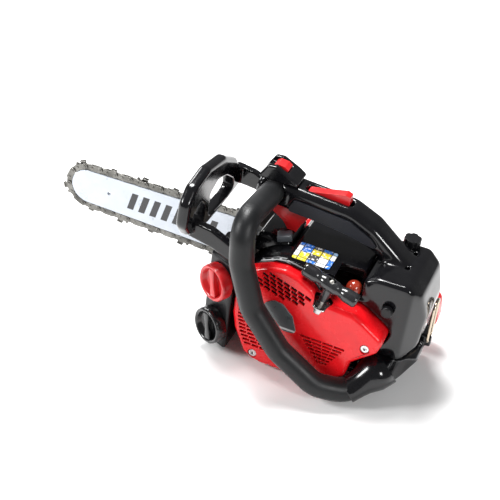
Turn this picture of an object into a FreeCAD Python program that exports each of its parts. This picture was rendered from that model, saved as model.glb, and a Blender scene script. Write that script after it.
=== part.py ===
import FreeCAD, Part
import math
import os

# Top-handle chainsaw. Frame: +X to the rear, +Y to the saw's right (bar side), +Z up.
# The origin is on the flat base, straight below the crankshaft, in the top handle's middle plane.
V = FreeCAD.Vector

# ---- driving dimensions, millimetres and degrees ----
CRANK_Z = 68.0            # height of the crankshaft and of the bar's centre line
BAR_Y = 42.0              # middle plane of the bar and the chain
FIT = 0.04                # radial clearance of running fits
GAP = 0.4                 # clearance between parts that move past each other
WALL = 2.5                # wall of the moulded covers

CHAIN_PITCH = 9.525       # 3/8 inch low profile
DRIVE_LINKS = 40
SPROCKET_TEETH = 6
RIVET_R = 1.5
RIVET_PLAY = 0.08
LINK_T = 1.3              # drive link thickness, which is the bar's gauge
STRAP_T = 1.2
STRAP_R = 3.4
TANG_DEPTH = 8.0          # drive link tang below the rivet line
CUTTER_H = 6.7            # cutter top above the rivet line
RAIL_TO_RIVET = 4.5       # rivet line above the bar's rail

BAR_T = 4.0
BAR_NOSE_R = 21.0
BAR_BELLY_R = 25.0
BAR_NOSE_TO_BELLY = 187.0
BAR_BELLY_TO_TAIL = 88.0
BAR_TAIL_HALF = 17.0
BAR_GROOVE = 7.5
STUD_R = 4.0
STUD_X = (-84.0, -62.0)

BORE_R = 17.0
STROKE = 28.0
ROD_LENGTH = 46.0
PIN_HALF = BORE_R - 3.0    # half length of the wrist pin
TILT = 25.0               # cylinder axis above the horizontal, leaning forward
FIN_R = 25.0
WEB_R = 22.0
WEB_IN = 5.1
WEB_OUT = 14.5
SHAFT_R = 6.0
SHAFT_END_R = 5.0
BEARING_R = 14.0
BEARING_W = 8.0
CASE_HALF = 26.0

FLYWHEEL_R = 36.0
PULLEY_R = 20.0
ROPE_R = 1.75
DRUM_R = 27.0
DRUM_WALL = 2.0
DRUM_Y0 = 46.6
DRUM_Y1 = 61.0

START_Y = -72.0           # outer face of the starter cover
START_INNER_Y = -31.0
COVER_Y = 72.0            # outer face of the clutch cover
TOP_Z = 133.0             # top of the engine cover
HANDLE_HALF = 16.0
HANDLE_ROUND = 8.0
TUBE_R = 12.5
TRAY_H = 8.0
CAP_R = 20.0
CAP_H = 13.0
GUARD_X = -142.0
GUARD_T = 13.0
GUARD_ROUND = 5.0
GUARD_AXIS = (-86.0, 124.0)
PIN_R = 3.0
TRIGGER_AXIS = (-42.0, 160.0)
LOCKOUT_AXIS = (-42.0, 180.0)
SCREW_R = 2.5
SCREW_HEAD_R = 4.2

C = math.cos(math.radians(TILT))
S = math.sin(math.radians(TILT))
BORE_DIR = V(-C, 0, S)
BORE_UP = V(S, 0, C)
CRANK = V(0, 0, CRANK_Z)
TDC_PIN = STROKE / 2 + ROD_LENGTH


# ---- shape helpers ----
def box(x0, x1, y0, y1, z0, z1):
    return Part.makeBox(x1 - x0, y1 - y0, z1 - z0, V(x0, y0, z0))


def rod(start, axis, length, radius):
    return Part.makeCylinder(radius, length, start, axis)


def tube(start, axis, length, outer, inner):
    return rod(start, axis, length, outer).cut(rod(start, axis, length, inner))


def y_rod(x, z, y0, y1, radius):
    return rod(V(x, y0, z), V(0, 1, 0), y1 - y0, radius)


def along(distance, side=0.0, up=0.0):
    """A point on the cylinder's axis, a distance from the crankshaft."""
    return CRANK + BORE_DIR * distance + BORE_UP * up + V(0, side, 0)


def corner_edges(points, radii, closed):
    """Straight runs joined by tangent arcs, each arc limited by its shorter run."""
    count = len(points)
    starts = []
    ends = []
    for i, p in enumerate(points):
        if not closed and i in (0, count - 1):
            starts.append(p)
            ends.append(p)
            continue
        a = points[i - 1]
        b = points[(i + 1) % count]
        u = (a - p).normalize()
        v = (b - p).normalize()
        half = u.getAngle(v) / 2
        reach = min(radii[i] / math.tan(half), 0.48 * a.distanceToPoint(p), 0.48 * b.distanceToPoint(p))
        starts.append(p + u * reach)
        ends.append(p + v * reach)
    edges = []
    for i, p in enumerate(points):
        if starts[i].distanceToPoint(ends[i]) > 0.01:
            chord = (starts[i] + ends[i]) * 0.5
            half = (starts[i] - p).getAngle(ends[i] - p) / 2
            reach = starts[i].distanceToPoint(p)
            inside = reach / math.cos(half) - reach * math.tan(half)
            middle = p + (chord - p).normalize() * inside
            edges.append(Part.Arc(starts[i], middle, ends[i]).toShape())
        if closed or i < count - 1:
            following = starts[(i + 1) % count]
            if ends[i].distanceToPoint(following) > 0.01:
                edges.append(Part.LineSegment(ends[i], following).toShape())
    return edges


def slab(outline, radius, y0, y1):
    """An XZ outline with rounded corners, from y0 to y1."""
    points = [V(x, y0, z) for x, z in outline]
    wire = Part.Wire(corner_edges(points, [radius] * len(points), True))
    return Part.Face(wire).extrude(V(0, y1 - y0, 0))


def plate_x(outline, radius, x0, x1):
    """A YZ outline with rounded corners, from x0 to x1."""
    points = [V(x0, y, z) for y, z in outline]
    wire = Part.Wire(corner_edges(points, [radius] * len(points), True))
    return Part.Face(wire).extrude(V(x1 - x0, 0, 0))


def plate_z(outline, radius, z0, z1):
    """An XY outline with rounded corners, from z0 to z1."""
    points = [V(x, y, z0) for x, y in outline]
    wire = Part.Wire(corner_edges(points, [radius] * len(points), True))
    return Part.Face(wire).extrude(V(0, 0, z1 - z0))


def bent_bar(points, bend, radius):
    """A round bar along straight runs joined by arcs."""
    path = Part.Wire(corner_edges(points, [bend] * len(points), False))
    first = points[1] - points[0]
    ring = Part.Wire(Part.makeCircle(radius, points[0], first))
    return path.makePipeShell([ring], True, False)


def fillet_near(shape, radius, wanted):
    """Round the edges whose middle satisfies a test."""
    edges = [e for e in shape.Edges if wanted(e)]
    return shape.makeFillet(radius, edges)


def mid(edge):
    return edge.valueAt((edge.FirstParameter + edge.LastParameter) / 2)


def shrunk(outline_shape, wall, y0, y1):
    """The inside of a slab: its side face drawn in by the wall."""
    face = min(outline_shape.Faces, key=lambda f: f.CenterOfMass.y)
    inner = face.makeOffset2D(-wall)
    inner.translate(V(0, y0 - face.CenterOfMass.y, 0))
    return inner.extrude(V(0, y1 - y0, 0))


def group(solids):
    return Part.makeCompound(solids)


# ---- engine ----
def case_outline():
    mouth = 34.0
    half = 21.0
    top = along(mouth, 0, half)
    low = along(mouth, 0, -half)
    return [(30, 16), (30, 94), (top.x, top.z), (low.x, low.z), (-30, 16)]


def crankcase(side):
    """One half of the crankcase: chamber, bearing seat and the mouth for the cylinder."""
    y0, y1 = (-CASE_HALF, 0) if side < 0 else (0, CASE_HALF)
    body = slab(case_outline(), 4, y0, y1)
    chamber = WEB_OUT + 0.5
    body = body.cut(y_rod(0, CRANK_Z, min(0, side * chamber), max(0, side * chamber), WEB_R + 1.5))
    seat = side * (chamber + BEARING_W)
    body = body.cut(y_rod(0, CRANK_Z, min(0, seat), max(0, seat), BEARING_R))
    body = body.cut(y_rod(0, CRANK_Z, y0 - 1, y1 + 1, SHAFT_R + 2))
    body = body.cut(rod(along(0), BORE_DIR, 40, BORE_R + 3.0))
    pocket = (y0 - 1, y1 - 4) if side > 0 else (y0 + 4, y1 + 1)
    return body.cut(box(-22, 22, *pocket, 20, 40))


def cylinder():
    """Finned barrel with its head, and bosses for the exhaust and the intake."""
    base = 34.2
    top = 82.0
    crown = TDC_PIN + 9 + 1.5
    body = rod(along(base), BORE_DIR, top - base, BORE_R + 3.5)
    body = body.fuse(rod(along(base), BORE_DIR, 4, BORE_R + 4.0))
    for i in range(9):
        body = body.fuse(rod(along(base + 8 + i * 4.7), BORE_DIR, 1.6, FIN_R))
    body = body.fuse(rod(V(-56, 0, 76), V(-1, 0, 0), 32, 9))
    body = body.fuse(rod(V(-42, 0, 111), V(1, 0, 0), 26, 8))
    body = body.cut(rod(along(20), BORE_DIR, crown - 20, BORE_R))
    body = body.cut(rod(V(-50, 0, 76), V(-1, 0, 0), 40, 6))
    body = body.cut(rod(V(-42, 0, 111), V(1, 0, 0), 30, 5.5))
    body = body.cut(rod(along(crown - 1), BORE_DIR, 20, 5))
    return body


def spark_plug():
    start = TDC_PIN + 11
    plug = rod(along(start), BORE_DIR, 82 - start, 5 - FIT)
    plug = plug.fuse(rod(along(82), BORE_DIR, 7, 8))
    plug = plug.fuse(rod(along(89), BORE_DIR, 7, 4.5))
    return plug.fuse(rod(along(96), BORE_DIR, 5, 2.5))


def spark_plug_boot():
    """Rubber elbow over the plug, turned towards the left."""
    boot = rod(along(90.5), BORE_DIR, 16, 8)
    boot = boot.fuse(rod(along(98), V(0, -1, 0), 11, 7.5))
    boot = boot.cut(rod(along(90), BORE_DIR, 6, 4.6))
    return boot.cut(rod(along(95.9), BORE_DIR, 5.2, 2.6))


def piston():
    crown = TDC_PIN + 9
    skirt = TDC_PIN - 8
    radius = BORE_R - FIT
    body = rod(along(skirt), BORE_DIR, crown - skirt, radius)
    body = body.cut(rod(along(skirt - 1), BORE_DIR, crown - skirt - 4, radius - 2.5))
    boss = rod(along(TDC_PIN, -radius + 1), V(0, 1, 0), 2 * radius - 2, 6.5)
    boss = boss.common(rod(along(skirt), BORE_DIR, crown - skirt - 2, radius - 0.5))
    body = body.fuse(boss)
    body = body.cut(box_on_axis(skirt - 1, crown - 2, 5.2, 12))
    body = body.cut(rod(along(TDC_PIN, -30), V(0, 1, 0), 60, 4))
    for groove in ring_places():
        body = body.cut(tube(along(groove), BORE_DIR, 1.3, radius + 1, radius - 2))
    return body


def ring_places():
    crown = TDC_PIN + 9
    return (crown - 3.2, crown - 6.4)


def box_on_axis(r0, r1, half_y, half_up):
    """A box in the cylinder's own directions, between two distances from the crankshaft."""
    block = Part.makeBox(r1 - r0, 2 * half_y, 2 * half_up)
    block.Placement = FreeCAD.Placement(
        along(r0, half_y, -half_up),
        FreeCAD.Rotation(BORE_DIR, V(0, -1, 0), BORE_UP, "XZY"))
    return block


def piston_rings():
    radius = BORE_R - FIT
    return group([tube(along(g + 0.05), BORE_DIR, 1.2, radius, radius - 1.9) for g in ring_places()])


def wrist_pin():
    return tube(along(TDC_PIN, -PIN_HALF), V(0, 1, 0), 2 * PIN_HALF, 4 - FIT / 2, 2)


def con_rod():
    half = WEB_IN - 0.6
    big = rod(along(STROKE / 2, -half), V(0, 1, 0), 2 * half, 8.5)
    small = rod(along(TDC_PIN, -half), V(0, 1, 0), 2 * half, 6.5)
    shank = box_on_axis(STROKE / 2, TDC_PIN, half - 1, 4)
    body = big.fuse(small).fuse(shank)
    body = body.cut(rod(along(STROKE / 2, -half - 1), V(0, 1, 0), 2 * half + 2, 5 + FIT / 2))
    return body.cut(rod(along(TDC_PIN, -half - 1), V(0, 1, 0), 2 * half + 2, 4))


def crankpin():
    half = WEB_IN - 0.4
    return rod(along(STROKE / 2, -half), V(0, 1, 0), 2 * half, 5)


def crankshaft():
    """Two webs with their shafts. The crankpin between them belongs to the connecting rod's group."""
    shaft = y_rod(0, CRANK_Z, -WEB_OUT, -WEB_IN, WEB_R)
    shaft = shaft.fuse(y_rod(0, CRANK_Z, WEB_IN, WEB_OUT, WEB_R))
    shaft = shaft.fuse(y_rod(0, CRANK_Z, -30, -WEB_OUT, SHAFT_R))
    shaft = shaft.fuse(y_rod(0, CRANK_Z, WEB_OUT, 34, SHAFT_R))
    shaft = shaft.fuse(y_rod(0, CRANK_Z, -50, -30, SHAFT_END_R))
    shaft = shaft.fuse(y_rod(0, CRANK_Z, 34, 64, SHAFT_END_R))
    return shaft


def main_bearings():
    rings = []
    for side in (-1, 1):
        start = side * (WEB_OUT + 0.5)
        rings.append(tube(V(0, start, CRANK_Z), V(0, side, 0), BEARING_W, BEARING_R, SHAFT_R + FIT))
    return group(rings)


def flywheel():
    """Fan wheel with curved-back blades on its outer face."""
    wheel = y_rod(0, CRANK_Z, -36, -31.5, FLYWHEEL_R)
    wheel = wheel.fuse(y_rod(0, CRANK_Z, -48, -31.5, 12))
    blades = 14
    for i in range(blades):
        blade = box(14, FLYWHEEL_R - 0.5, -46, -35.5, -0.9, 0.9)
        blade.rotate(V(14, 0, 0), V(0, 1, 0), 25)
        blade.rotate(V(0, 0, 0), V(0, 1, 0), i * 360 / blades)
        blade.translate(CRANK)
        wheel = wheel.fuse(blade)
    wheel = wheel.common(y_rod(0, CRANK_Z, -49, -31, FLYWHEEL_R))
    return wheel.cut(y_rod(0, CRANK_Z, -49, -31, SHAFT_END_R))


def ignition_coil():
    """Coil with its two legs, a small air gap above the flywheel."""
    coil = box(-44, -16, -46, -32, 108, 119)
    legs = box(-42, -16, -41, -33, 90, 109).cut(y_rod(0, CRANK_Z, -60, 0, FLYWHEEL_R + GAP))
    legs = legs.cut(box(-36, -22, -42, -32, 80, 108))
    return coil.fuse(legs)


# ---- starter ----
GUIDE = V(4, -64, 99)
PULL = V(0.21, -0.1, 0.97).normalize()
BAR_WAY = V(0.97, -0.104, -0.221).normalize()
GRIP_OUT = 31.0
GRIP_HALF = 31.5           # half length of the grip's bar
GRIP_BALL = 7.5            # radius of its ball ends
GRIP_WAIST = 5.2


def starter_outline():
    return [(-84, 100), (-84, 58), (-80, 40), (-66, 12), (-48, 5), (-26, 5), (22, 12), (43, 26), (46, 46),
            (70, 68), (75, 84), (50, 100), (40, 105), (12, 107), (3, 107), (-6, 118), (-22, 127),
            (-36, 130), (-54, 127), (-72, 118)]


def starter_solid():
    body = slab(starter_outline(), 9, START_Y, START_INNER_Y)
    return fillet_near(body, 5.0, lambda e: abs(mid(e).y - START_Y) < 0.01)


UPPER_VENTS = [(-66, 104), (-57, 117), (-46, 122), (-27, 121), (-4, 106), (-14, 95), (-46, 97)]
FRONT_EDGE = [(100, -84), (58, -84), (40, -80), (12, -66)]


def inside(outline, x, z):
    """Whether a point lies inside a convex outline that runs clockwise, seen from the left."""
    for i, (x0, z0) in enumerate(outline):
        x1, z1 = outline[(i + 1) % len(outline)]
        if (x1 - x0) * (z - z0) - (z1 - z0) * (x - x0) > 0:
            return False
    return True


def front_edge(z):
    """The cover's front edge at a height."""
    for (z0, x0), (z1, x1) in zip(FRONT_EDGE, FRONT_EDGE[1:]):
        if z >= z1:
            return x0 + (x1 - x0) * (z0 - z) / (z0 - z1)
    return FRONT_EDGE[-1][1]


def vent_slots():
    """Slanted vents over the fan, level vents low at the rear, and rows up the front edge."""
    cuts = []
    for row in range(8):
        for col in range(12):
            x = -72 + col * 8.0 + row * 1.2
            z = 128 - row * 5.0 - col * 2.6
            if inside(UPPER_VENTS, x, z):
                slot = box(-3.2, 3.2, START_Y - 2, START_Y + 8, -1.6, 1.6)
                slot.rotate(V(0, 0, 0), V(0, 1, 0), 18)
                slot.translate(V(x, 0, z))
                cuts.append(slot)
    for row in range(7):
        for col in range(4):
            x = -9 + row * 3.4 + col * (12.2 - row * 1.5)
            z = 60 - row * 4.2
            cuts.append(box(x, x + 10.4 - row * 1.3, START_Y - 2, START_Y + 8, z - 1.1, z + 1.1))
    for row in range(14):
        z = 26 + row * 4.4
        for col in range(3):
            x = front_edge(z) + 7 + col * 8.6
            cuts.append(box(x, x + 6.8, START_Y - 2, START_Y + 8, z - 1.1, z + 1.1))
    for row in range(15):
        cuts.append(box(-86, -60, START_Y + 8, START_Y + 20, 24 + row * 5, 26.4 + row * 5))
    return cuts


def starter_cover():
    """Moulded cover: outer shell, the pulley's post, and the seat of the rope guide."""
    outer = starter_solid()
    inner = shrunk(slab(starter_outline(), 9, START_Y + WALL, START_INNER_Y), WALL,
                   START_Y + WALL, START_INNER_Y + 1)
    shell = outer.cut(inner)
    shell = shell.cut(group(vent_slots()))
    shell = shell.fuse(y_rod(0, CRANK_Z, START_Y + 1, -53, 4.0))
    seat = rod(GUIDE - PULL * 6, PULL, 7, 10).common(outer)
    shell = shell.fuse(seat)
    for x, z in case_screw_places():
        post = y_rod(x, z, START_Y + 1, START_INNER_Y, 5)
        shell = shell.fuse(post.common(outer))
        shell = shell.cut(y_rod(x, z, START_Y - 1, START_INNER_Y + 1, SCREW_R))
        shell = shell.cut(y_rod(x, z, START_Y - 1, START_Y + 4, SCREW_HEAD_R + 0.3))
    shell = shell.cut(rod(GUIDE - PULL * 5, PULL, 40, 9))
    return shell.cut(rod(GUIDE + PULL * 1, PULL, 20, 10.2))


def case_screw_places():
    return ((-47, 66), (-56, 15), (58, 70), (-70, 100))


def case_screws():
    screws = []
    for x, z in case_screw_places():
        head = y_rod(x, z, START_Y + 1.2, START_Y + 4, SCREW_HEAD_R)
        head = head.cut(y_rod(x, z, START_Y, START_Y + 3, 2))
        screws.append(head.fuse(y_rod(x, z, START_Y + 3, START_INNER_Y + 1, SCREW_R)))
    return group(screws)


def starter_badge():
    outline = [(-53, 84), (-42, 92), (-32, 91), (-20, 80), (-13, 60), (-28, 59)]
    return slab(outline, 4, START_Y - 1.2, START_Y)


def rope_guide():
    """Metal eyelet that the rope runs through, pressed into the starter cover."""
    guide = rod(GUIDE - PULL * 5, PULL, 6, 9)
    guide = guide.fuse(rod(GUIDE + PULL * 1, PULL, 1.6, 10))
    return guide.cut(rod(GUIDE - PULL * 20, PULL, 40, ROPE_R + 1))


def starter_pulley():
    drum = y_rod(0, CRANK_Z, -62, -53.5, PULLEY_R + 2)
    drum = drum.cut(y_rod(0, CRANK_Z, -60.5, -55, PULLEY_R + 6).cut(y_rod(0, CRANK_Z, -60.5, -55, PULLEY_R)))
    return drum.cut(y_rod(0, CRANK_Z, -70, -50, 4.0 + FIT))


def recoil_spring():
    """Flat spiral spring in its pack, turn lying on turn."""
    return tube(V(0, -68.5, CRANK_Z), V(0, 1, 0), 5.5, 17, 6)


def starter_rope():
    """The stretch of rope between the guide and the grip's knot."""
    return rod(GUIDE - PULL * 5, PULL, 5 + GRIP_OUT, ROPE_R)


def grip_bar():
    """The grip's bar, turned about its own length: ball ends, thin waists and a thick middle."""
    outline = [V(-GRIP_HALF, 0, 0), V(-GRIP_HALF, 0, GRIP_BALL), V(4 - GRIP_HALF / 1.5, 0, GRIP_BALL),
               V(-12, 0, GRIP_WAIST), V(-7, 0, 7), V(7, 0, 7), V(12, 0, GRIP_WAIST),
               V(GRIP_HALF / 1.5 - 4, 0, GRIP_BALL), V(GRIP_HALF, 0, GRIP_BALL), V(GRIP_HALF, 0, 0)]
    edges = corner_edges(outline, [0, GRIP_BALL - 0.5, 12, 8, 5, 5, 8, 12, GRIP_BALL - 0.5, 0], True)
    bar = Part.Face(Part.Wire(edges)).revolve(V(0, 0, 0), V(1, 0, 0), 360)
    bar.Placement = FreeCAD.Placement(GUIDE + PULL * GRIP_OUT,
                                      FreeCAD.Rotation(BAR_WAY, PULL.cross(BAR_WAY), PULL, "ZXY"))
    return bar


def starter_grip():
    """T-shaped grip with rounded ends and a neck that the rope comes up through."""
    centre = GUIDE + PULL * GRIP_OUT
    neck = Part.makeCone(4.6, 6.0, 22, centre - PULL * 22, PULL)
    bar = grip_bar().fuse(neck)
    bar = bar.cut(rod(centre - PULL * 30, PULL, 30, ROPE_R))
    return bar.cut(rod(centre, PULL, 20, 4))


# ---- tanks, chassis and covers ----
TANK_FACE = (V(-120, -56, 0), V(-86.5, -74, 0))
FUEL_Z = 88.0
OIL_Z = 32.0
TANK_TOP = 112.0
CORNER_CUT = [(120, -5), (76, -66)]    # line of the bevelled rear left corner, seen from above


def cap_axis():
    way = (TANK_FACE[1] - TANK_FACE[0]).normalize()
    return V(way.y, -way.x, 0)


def cap_seat(height):
    middle = (TANK_FACE[0] + TANK_FACE[1]) * 0.5
    return V(middle.x, middle.y, height)


def front_tank():
    """Fuel tank above and oil tank below, with a neck for each cap."""
    outline = [(-120, -12), (-120, -56), (-86.5, -74), (-86.5, -12)]
    body = plate_z(outline, 3, TRAY_H, TANK_TOP)
    inner = [(-117, -15), (-117, -54), (-90, -68), (-90, -15)]
    body = body.cut(plate_z(inner, 2, TRAY_H + 3, 55))
    body = body.cut(plate_z(inner, 2, 58, TANK_TOP - 3))
    ax, az = GUARD_AXIS
    lug = slab([(ax - 12, TANK_TOP - 2), (ax - 6, az + 6), (ax + 5, az + 6), (ax - 0.5, TANK_TOP - 2)], 3,
               -59.5, -52)
    body = body.fuse(lug).fuse(y_rod(ax, az, -71, -58, PIN_R))
    for z in (FUEL_Z, OIL_Z):
        seat = cap_seat(z)
        body = body.fuse(rod(seat - cap_axis() * 3, cap_axis(), 8, 14))
        body = body.cut(rod(seat - cap_axis() * 8, cap_axis(), 20, 11))
    return body


def tank_cap(height):
    """Cap with a skirt over the neck and a raised wing across its face."""
    seat = cap_seat(height) + cap_axis() * GAP
    cap = rod(seat, cap_axis(), CAP_H, CAP_R)
    cap = cap.makeFillet(3, [e for e in cap.Edges if e.Length > 2 and e.CenterOfMass.distanceToPoint(
        seat + cap_axis() * CAP_H) < 0.1])
    cap = cap.cut(rod(seat - cap_axis(), cap_axis(), 6.6, 14 + GAP))
    across = V(0, 0, 1)
    sideways = cap_axis().cross(across)
    for side in (-1, 1):
        pocket = rod(seat + cap_axis() * 8.5 + sideways * (side * 11.5), cap_axis(), 10, 7.5)
        cap = cap.cut(pocket)
    return cap.fuse(rod(seat, cap_axis(), 7, 10.6))


def rear_corner(wall):
    """What is cut from the rear left upright corner, or a wall's thickness more of it."""
    points = [V(x - wall * 1.2, y + wall * 0.7, -5) for x, y in CORNER_CUT]
    points += [V(140, -90, -5)]
    return Part.Face(Part.makePolygon(points + points[:1])).extrude(V(0, 0, 160))


def chassis():
    """Base tray with the rear heel that carries the handles and the rear housing."""
    tray = box(-120, 60, START_INNER_Y + 1, 33.5, 0, TRAY_H)
    heel = slab([(48, 0), (86, 0), (103, 15), (106, 44), (96, 50), (62, 50), (48, 34)], 6, -46, 33.5)
    heel = heel.cut(rear_corner(0.0))
    hollow = slab([(53, 5), (84, 5), (98, 17), (101, 42), (94, 46), (64, 46), (53, 32)], 3, -42, 29)
    heel = heel.cut(hollow.cut(rear_corner(4.0)))
    x, z = RING_AXIS
    lug = box(x - 9, x + 3.5, -2.7, 2.7, z - 9, z + 4).cut(y_rod(x, z, -6, 6, RING_WIRE + FIT))
    boss = box(56, 84, -62, -40, 16, 50)
    boss = fillet_near(boss, 6, lambda e: mid(e).y < -61)
    body = tray.fuse(heel).fuse(boss).fuse(lug)
    return body.cut(handle_path_solid(TUBE_R))


def isolators():
    return group([rod(V(x, y, TRAY_H), V(0, 0, 1), 16 - TRAY_H, 7) for x in (-18, 18) for y in (-14, 14)])


def muffler():
    can = fillet_near(box(-124, -88, -8, 33, 40, 96), 5, lambda e: True)
    can = can.cut(fillet_near(box(-122.8, -89.2, -6.8, 31.8, 41.2, 94.8), 4, lambda e: True))
    return can.cut(rod(V(-92, 0, 76), V(1, 0, 0), 10, 6)).cut(rod(V(-110, 20, 30), V(0, 0, 1), 14, 5))


def intake_boot():
    return tube(V(-16, 0, 111), V(1, 0, 0), 54, 8, 5.5)


def carburettor():
    body = fillet_near(box(38, 60, -14, 14, 97, 124), 2, lambda e: True)
    body = body.fuse(rod(V(47, -20, 111), V(0, 1, 0), 40, 4))
    return body.cut(rod(V(30, 0, 111), V(1, 0, 0), 40, 6))


def air_filter():
    frame = box(64, 84, -28, 24, 74, 126)
    return fillet_near(frame, 5, lambda e: True).cut(rod(V(60, 0, 111), V(1, 0, 0), 18, 8))


CHOKE = V(68, -38, 110)


def choke_knob():
    knob = rod(CHOKE, V(0, -1, 0), 18, 3)
    knob = knob.fuse(rod(CHOKE + V(0, -13.5, 0), V(0, -1, 0), 6, 6))
    return fillet_near(knob, 1.5, lambda e: mid(e).y < CHOKE.y - 19.4)


def top_cover():
    """Engine cover: a flat top with turned-down sides, open under the hand."""
    outer = slab([(-46, 108), (-46, 127), (-40, TOP_Z), (34, TOP_Z), (36, 128), (36, 108)], 3, -56, 33)
    inner = box(-43, 33.5, -53, 30, 100, TOP_Z - WALL)
    cover = outer.cut(inner)
    cover = cover.cut(slab(starter_outline(), 9, START_Y, START_INNER_Y + 0.5))
    cover = cover.cut(box(10, 40, -60, -31, 100, 140))
    cover = cover.cut(rod(V(-60, 0, 111), V(1, 0, 0), 120, 8.5))
    cover = cover.cut(rod(along(30), BORE_DIR, 60, FIN_R + 0.6))
    return max(cover.Solids, key=lambda s: s.Volume)


def instruction_label():
    return fillet_near(box(-38, 2, -50, -20, TOP_Z, TOP_Z + 0.4), 2, lambda e: e.Length < 1)


def rear_housing():
    """Air filter cover: a tall hood that closes the rear of the saw."""
    outline = [(38, 104), (38, 134), (52, 140), (84, 141), (97, 128), (104, 98), (102, 62), (92, 50.6),
               (64, 50.6), (50, 80)]
    y0, y1 = -50, 33.4
    outer = slab(outline, 5, y0, y1)
    outer = fillet_near(outer, 4.0, lambda e: min(abs(mid(e).y - y0), abs(mid(e).y - y1)) < 0.01)
    inner = shrunk(slab(outline, 5, y0, y1), WALL, y0 + WALL, y1 - WALL)
    shell = outer.cut(rear_corner(0.0)).cut(inner.cut(rear_corner(WALL)))
    shell = shell.cut(box(30, 62, -36, 31, 84, 128))
    shelf = box(19, 44, -52.5, -32, 107.6, 112)
    shell = shell.cut(shrunk(slab(starter_outline(), 9, START_Y, START_INNER_Y), -0.5,
                             START_Y, START_INNER_Y + 1.5)).fuse(shelf)
    shell = shell.cut(rod(CHOKE + V(0, 20, 0), V(0, -1, 0), 60, 3 + GAP))
    shell = shell.cut(slab(handle_outline(), 6, -HANDLE_HALF - 0.2, HANDLE_HALF + 0.2))
    shell = shell.cut(box(98, 112, -6, 6, 44, 59))
    shell = shell.cut(rod(V(64, 26, 120), V(0, 0, 1), 30, SCREW_R + FIT))
    return max(shell.Solids, key=lambda s: s.Volume)


def housing_knob():
    knob = rod(V(64, 26, 141.4), V(0, 0, 1), 8, 9)
    for i in range(6):
        angle = math.radians(60 * i)
        knob = knob.cut(rod(V(64 + 11 * math.cos(angle), 26 + 11 * math.sin(angle), 141), V(0, 0, 1), 10, 3.2))
    return knob.fuse(rod(V(64, 26, 130), V(0, 0, 1), 12, SCREW_R))


# ---- handles and controls ----
def handle_outline():
    return [(-98, 160), (-98, 186), (-60, 188), (4, 184), (32, 172), (60, 150), (76, 139), (66, 124),
            (52, 128), (36, 142), (24, 147), (8, 151), (-24, 155), (-46, 157), (-66, 160)]


def trigger_well():
    return slab([(-88, 140), (-88, 168), (-36, 168), (-36, 140)], 2, -6, 6)


def lockout_well():
    return slab([(-48, 174), (-48, 196), (3, 196), (3, 170)], 1, -5.5, 5.5)


def top_handle():
    """Handle shell that runs from the front bracket back to the rear housing."""
    body = slab(handle_outline(), 10, -HANDLE_HALF, HANDLE_HALF)
    body = fillet_near(body, HANDLE_ROUND, lambda e: abs(abs(mid(e).y) - HANDLE_HALF) < 0.01)
    leg = slab([(-104, TANK_TOP), (-100, 164), (-84, 164), (-87, TANK_TOP)], 2, -46, -14)
    body = body.fuse(leg)
    body = body.cut(trigger_well()).cut(lockout_well())
    body = body.cut(handle_path_solid(TUBE_R))
    for side in (-1, 1):
        body = body.cut(grip_pad(side))
    for x, z in (TRIGGER_AXIS, LOCKOUT_AXIS):
        body = body.fuse(y_rod(x, z, -HANDLE_HALF + 4, HANDLE_HALF - 4, 2))
    return body


def grip_pad(side):
    """Rubber pad on the side of the handle."""
    outline = [(-60, 162), (-54, 176), (6, 172), (30, 160), (40, 150), (26, 152), (8, 156), (-24, 160)]
    y0 = side * (HANDLE_HALF - 2.5)
    y1 = side * (HANDLE_HALF + 1.0)
    return slab(outline, 3, min(y0, y1), max(y0, y1))


def handle_grip():
    return group([grip_pad(side) for side in (-1, 1)])


def switch_housing():
    """Raised pod in front of the grip, with a recess for the stop switch."""
    pod = slab([(-98, 187.6), (-88, 204), (-79, 205), (-60, 196), (-50, 188.6)], 3, -14, 14)
    pod = pod.cut(slab(handle_outline(), 10, -20, 20))
    pod = fillet_near(pod, 2.0, lambda e: abs(abs(mid(e).y) - 14) < 0.01 and mid(e).z > 190)
    return pod.cut(box(-90, -62, -8, 8, 198.4, 210)).cut(handle_path_solid(TUBE_R))


def stop_switch():
    body = slab([(-84, 198.8), (-84, 202), (-80, 204.4), (-72, 203.6), (-68, 200.6), (-68, 198.8)], 1, -6.5, 6.5)
    return body


def throttle_trigger():
    outline = [(-80, 157), (-79, 149), (-66, 141), (-57, 129), (-51, 129), (-46, 142), (-37.5, 156),
               (-37.5, 164), (-46, 164)]
    lever = slab(outline, 3, -5, 5)
    return lever.cut(y_rod(TRIGGER_AXIS[0], TRIGGER_AXIS[1], -9, 9, 2 + FIT))


def throttle_lockout():
    outline = [(-45.5, 177), (-45.5, 184), (-30, 187), (-6, 193), (-1, 191), (0, 182), (-8, 180)]
    lever = slab(outline, 2, -5, 5)
    return lever.cut(y_rod(LOCKOUT_AXIS[0], LOCKOUT_AXIS[1], -9, 9, 2 + FIT))


def handle_points():
    low = TUBE_R - 0.5
    side = START_Y - TUBE_R - 7.5
    return [V(-79, -8, low + 163), V(-79, side, low + 172), V(-74, side - 3, 140), V(-56, side - 4, 92),
            V(-22, side - 4, 52), V(20, side, low + 10), V(52, side + 16, low + 2), V(70, side + 36, low + 20)]


def handle_path_solid(radius):
    return bent_bar(handle_points(), 34, radius)


def front_handle():
    """Bent tube with its rubber sleeve, round the saw's left side."""
    return handle_path_solid(TUBE_R).cut(handle_path_solid(TUBE_R - 4))


def guard_outline():
    return [(-60, 134), (-80, 138), (-94, 156), (-91, 181), (-77, 195), (-44, 200), (-2, 192), (34, 171),
            (51, 149), (57, 132), (48, 129), (20, 127), (-36, 127)]


def guard_windows():
    return ([(-48, 139), (-49, 160), (-60, 169), (-77, 163), (-79, 150), (-66, 141)],
            [(-35, 137), (-37, 165), (-18, 172), (5, 165), (26, 150), (31, 137), (14, 134)])


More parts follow.
